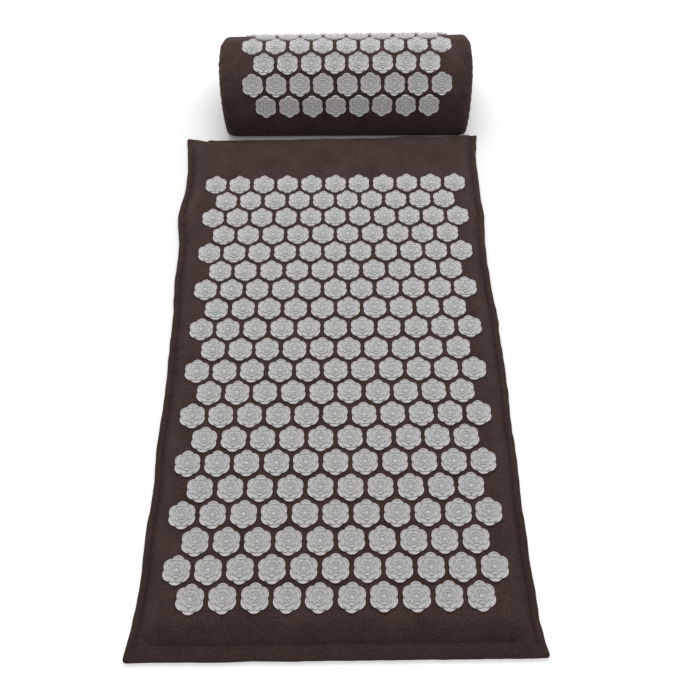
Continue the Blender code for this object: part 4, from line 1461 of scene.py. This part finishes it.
def tooth_spine():
    """The middle line of one turn of the coil, in its own y and z: from the tape over to the zip's middle."""
    reach = TEETH_REACH - TOOTH_GAP
    middle, swing = TOOTH_SWING_SHARES
    spine = [(0.0, TEETH_REACH)]
    for bend in np.linspace(0, math.pi, TOOTH_BENDS)[1:-1]:
        y = TEETH_DEPTH * TOOTH_RISE_SHARE * math.sin(bend) ** TOOTH_RISE_POWER
        spine.append((y, TOOTH_GAP + reach * (middle + swing * math.cos(bend))))
    spine.append((TEETH_DEPTH * TOOTH_FOOT_SHARE, TOOTH_GAP + TOOTH_FOOT_GAP))
    return np.array(spine)


def tooth_template():
    """One turn of the coil seen from outside: a rounded hook across the zip."""
    spine = tooth_spine()
    count = len(spine)
    radius = TOOTH_WIDTH / 2
    angles = np.arange(TOOTH_SIDES) * 2 * math.pi / TOOTH_SIDES
    sizes = np.ones(count)
    sizes[[0, -1]] = TOOTH_END_SHARES
    rings = []
    lines = zip(spine, unit(np.gradient(spine, axis=0)), sizes, np.linspace(1, -1, count))
    for (y, z), (ahead_y, ahead_z), size, lean in lines:
        x = size * radius * np.cos(angles) + lean * TOOTH_LEAN
        off = size * radius * TOOTH_FLAT_SHARE * np.sin(angles)
        y = y + CLEARANCE + radius * TOOTH_SINK_SHARE
        rings.append(np.column_stack([x, y - off * ahead_z, z + off * ahead_y]))
    cap = end_cap(TOOTH_SIDES)
    last = (count - 1) * TOOTH_SIDES
    return np.vstack(rings), np.vstack([ring_quads(count, TOOTH_SIDES), cap, cap + last])


def zip_teeth(prefix, name, way, body):
    """The turns of one side's coil, in place of its strip of teeth."""
    node = f"{prefix}_zip_{name}_teeth"
    low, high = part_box(node)
    middle_z = (low.z if way > 0 else high.z) - way * TEETH_INSET
    points, quads = tooth_template()
    points = points * (1, 1, way)
    count = int((high.x - low.x) / TOOTH_PITCH)
    start = (low.x + high.x) / 2 - (count - 1) / 2 * TOOTH_PITCH + way * TOOTH_PITCH / 4
    places = [(start + index * TOOTH_PITCH, low.y - CLEARANCE, middle_z) for index in range(count)]
    all_points = np.vstack([points + place for place in places])
    mesh = mesh_from_arrays(node + "_coil", all_points, [repeat_faces(quads, count, len(points))])
    new_object(node + "_coil", mesh, "coil", body, "zip_teeth", node)


def add_zip(prefix, body):
    for name, way in (("upper", 1), ("lower", -1)):
        zip_teeth(prefix, name, way, body)
        tape = bpy.data.objects[f"{prefix}_zip_{name}_tape"]
        tape.material_slots[0].material = MATERIALS["tape"]
    for name in ("upper_stop", "lower_stop", "end_stop"):
        node = f"{prefix}_zip_{name}"
        form = bmesh.new()
        add_box(form, *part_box(node), STOP_BEVEL)
        form_object(node, "clamped", form, body)
    place = zip_slider(prefix, f"{prefix}_zip_slider")
    zip_tab(prefix, place, f"{prefix}_zip_pull")


# Stage


def add_camera():
    right = Vector(CAMERA_RIGHT)
    up = Vector(CAMERA_UP)
    turn = Matrix((right, up, right.cross(up))).transposed()
    data = bpy.data.cameras.new("camera")
    data.sensor_width = SENSOR
    data.lens = FOCAL_SHARE * SENSOR
    data.clip_start = CLIP_START
    camera = add_object("camera", data)
    camera.matrix_world = Matrix.Translation(CAMERA_PLACE) @ turn.to_4x4()
    bpy.context.scene.camera = camera


def add_lamp(name, place, target, size, power):
    data = bpy.data.lights.new(name, "AREA")
    data.shape = "RECTANGLE"
    data.size, data.size_y = size
    data.energy = power
    lamp = add_object(name, data)
    lamp.location = place
    lamp.rotation_euler = (Vector(target) - Vector(place)).to_track_quat("-Z", "Y").to_euler()


def seen_share(shading):
    """1 for rays from the camera and for reflections, which see the backdrop, and 0 for the rest."""
    path = shading.add("ShaderNodeLightPath", {})
    shown = shading.math("ADD", path.outputs["Is Camera Ray"], path.outputs["Is Glossy Ray"])
    return shading.math("ADD", shown, path.outputs["Is Transmission Ray"], clamp=True)


def add_floor():
    made = Shading("floor_pale")
    made.shader.inputs["Specular IOR Level"].default_value = 0.0
    made.shader.inputs["Roughness"].default_value = 1.0
    seen = seen_share(made)
    made.feed(made.shader.inputs["Base Color"], made.mix(seen, (0.8, 0.8, 0.8, 1), (0.97, 0.97, 0.97, 1)))
    made.shader.inputs["Emission Color"].default_value = (1, 1, 1, 1)
    far = made.add("ShaderNodeVectorMath", {0: made.places(), 1: GLOW_MIDDLE}, operation="DISTANCE")
    glow = made.math("MULTIPLY", seen, made.spread(far.outputs["Value"], *GLOW_REACH, *GLOW))
    made.feed(made.shader.inputs["Emission Strength"], glow)
    form = bmesh.new()
    bmesh.ops.create_grid(form, x_segments=1, y_segments=1, size=FLOOR_REACH)
    mesh = bpy.data.meshes.new("floor")
    form.to_mesh(mesh)
    form.free()
    mesh.materials.append(made.material)
    floor = add_object("floor", mesh)
    floor.location.z = -FLOOR_DROP


def set_world():
    world = bpy.data.worlds.new("studio")
    world.use_nodes = True
    bpy.context.scene.world = world
    tree = world.node_tree
    background = tree.nodes["Background"]
    background.inputs["Color"].default_value = (1, 1, 1, 1)
    path = tree.nodes.new("ShaderNodeLightPath")
    strength = tree.nodes.new("ShaderNodeMapRange")
    low, high = WORLD_STRENGTHS
    strength.inputs["To Min"].default_value = low
    strength.inputs["To Max"].default_value = high
    tree.links.new(path.outputs["Is Camera Ray"], strength.inputs["Value"])
    tree.links.new(strength.outputs["Result"], background.inputs["Strength"])


MATERIALS = {
    "cotton": cotton_material(),
    "disc": disc_material(),
    "thread": thread_material(),
    "tape": tape_material(),
    "coil": coil_material(),
    "enamel": enamel_material(),
    "foam": foam_material(),
}
TEMPLATE = disc_template()
PILLOW_PLACE, PILLOW_LENGTH = pillow_place()
PILLOW_ROWS = sum(node.startswith("pillow_disc_row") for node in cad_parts)
ARCH = arch_track(PILLOW_DEPTH, PILLOW_HEIGHT)

mat_discs()
mat_cover()
mat_stitches()
mat_foam()
add_zip("mat", "mat")
pillow_cover()
pillow_end(-1, "pillow_end_left", "pillow_left_end")
pillow_end(1, "pillow_end_right", "pillow_right_end")
pillow_base()
pillow_stitches()
pillow_foam()
pillow_discs()
add_zip("pillow", "pillow")
add_camera()
for lamp in LAMPS:
    add_lamp(*lamp)
add_floor()
set_world()
bpy.context.scene.view_settings.view_transform = "Standard"
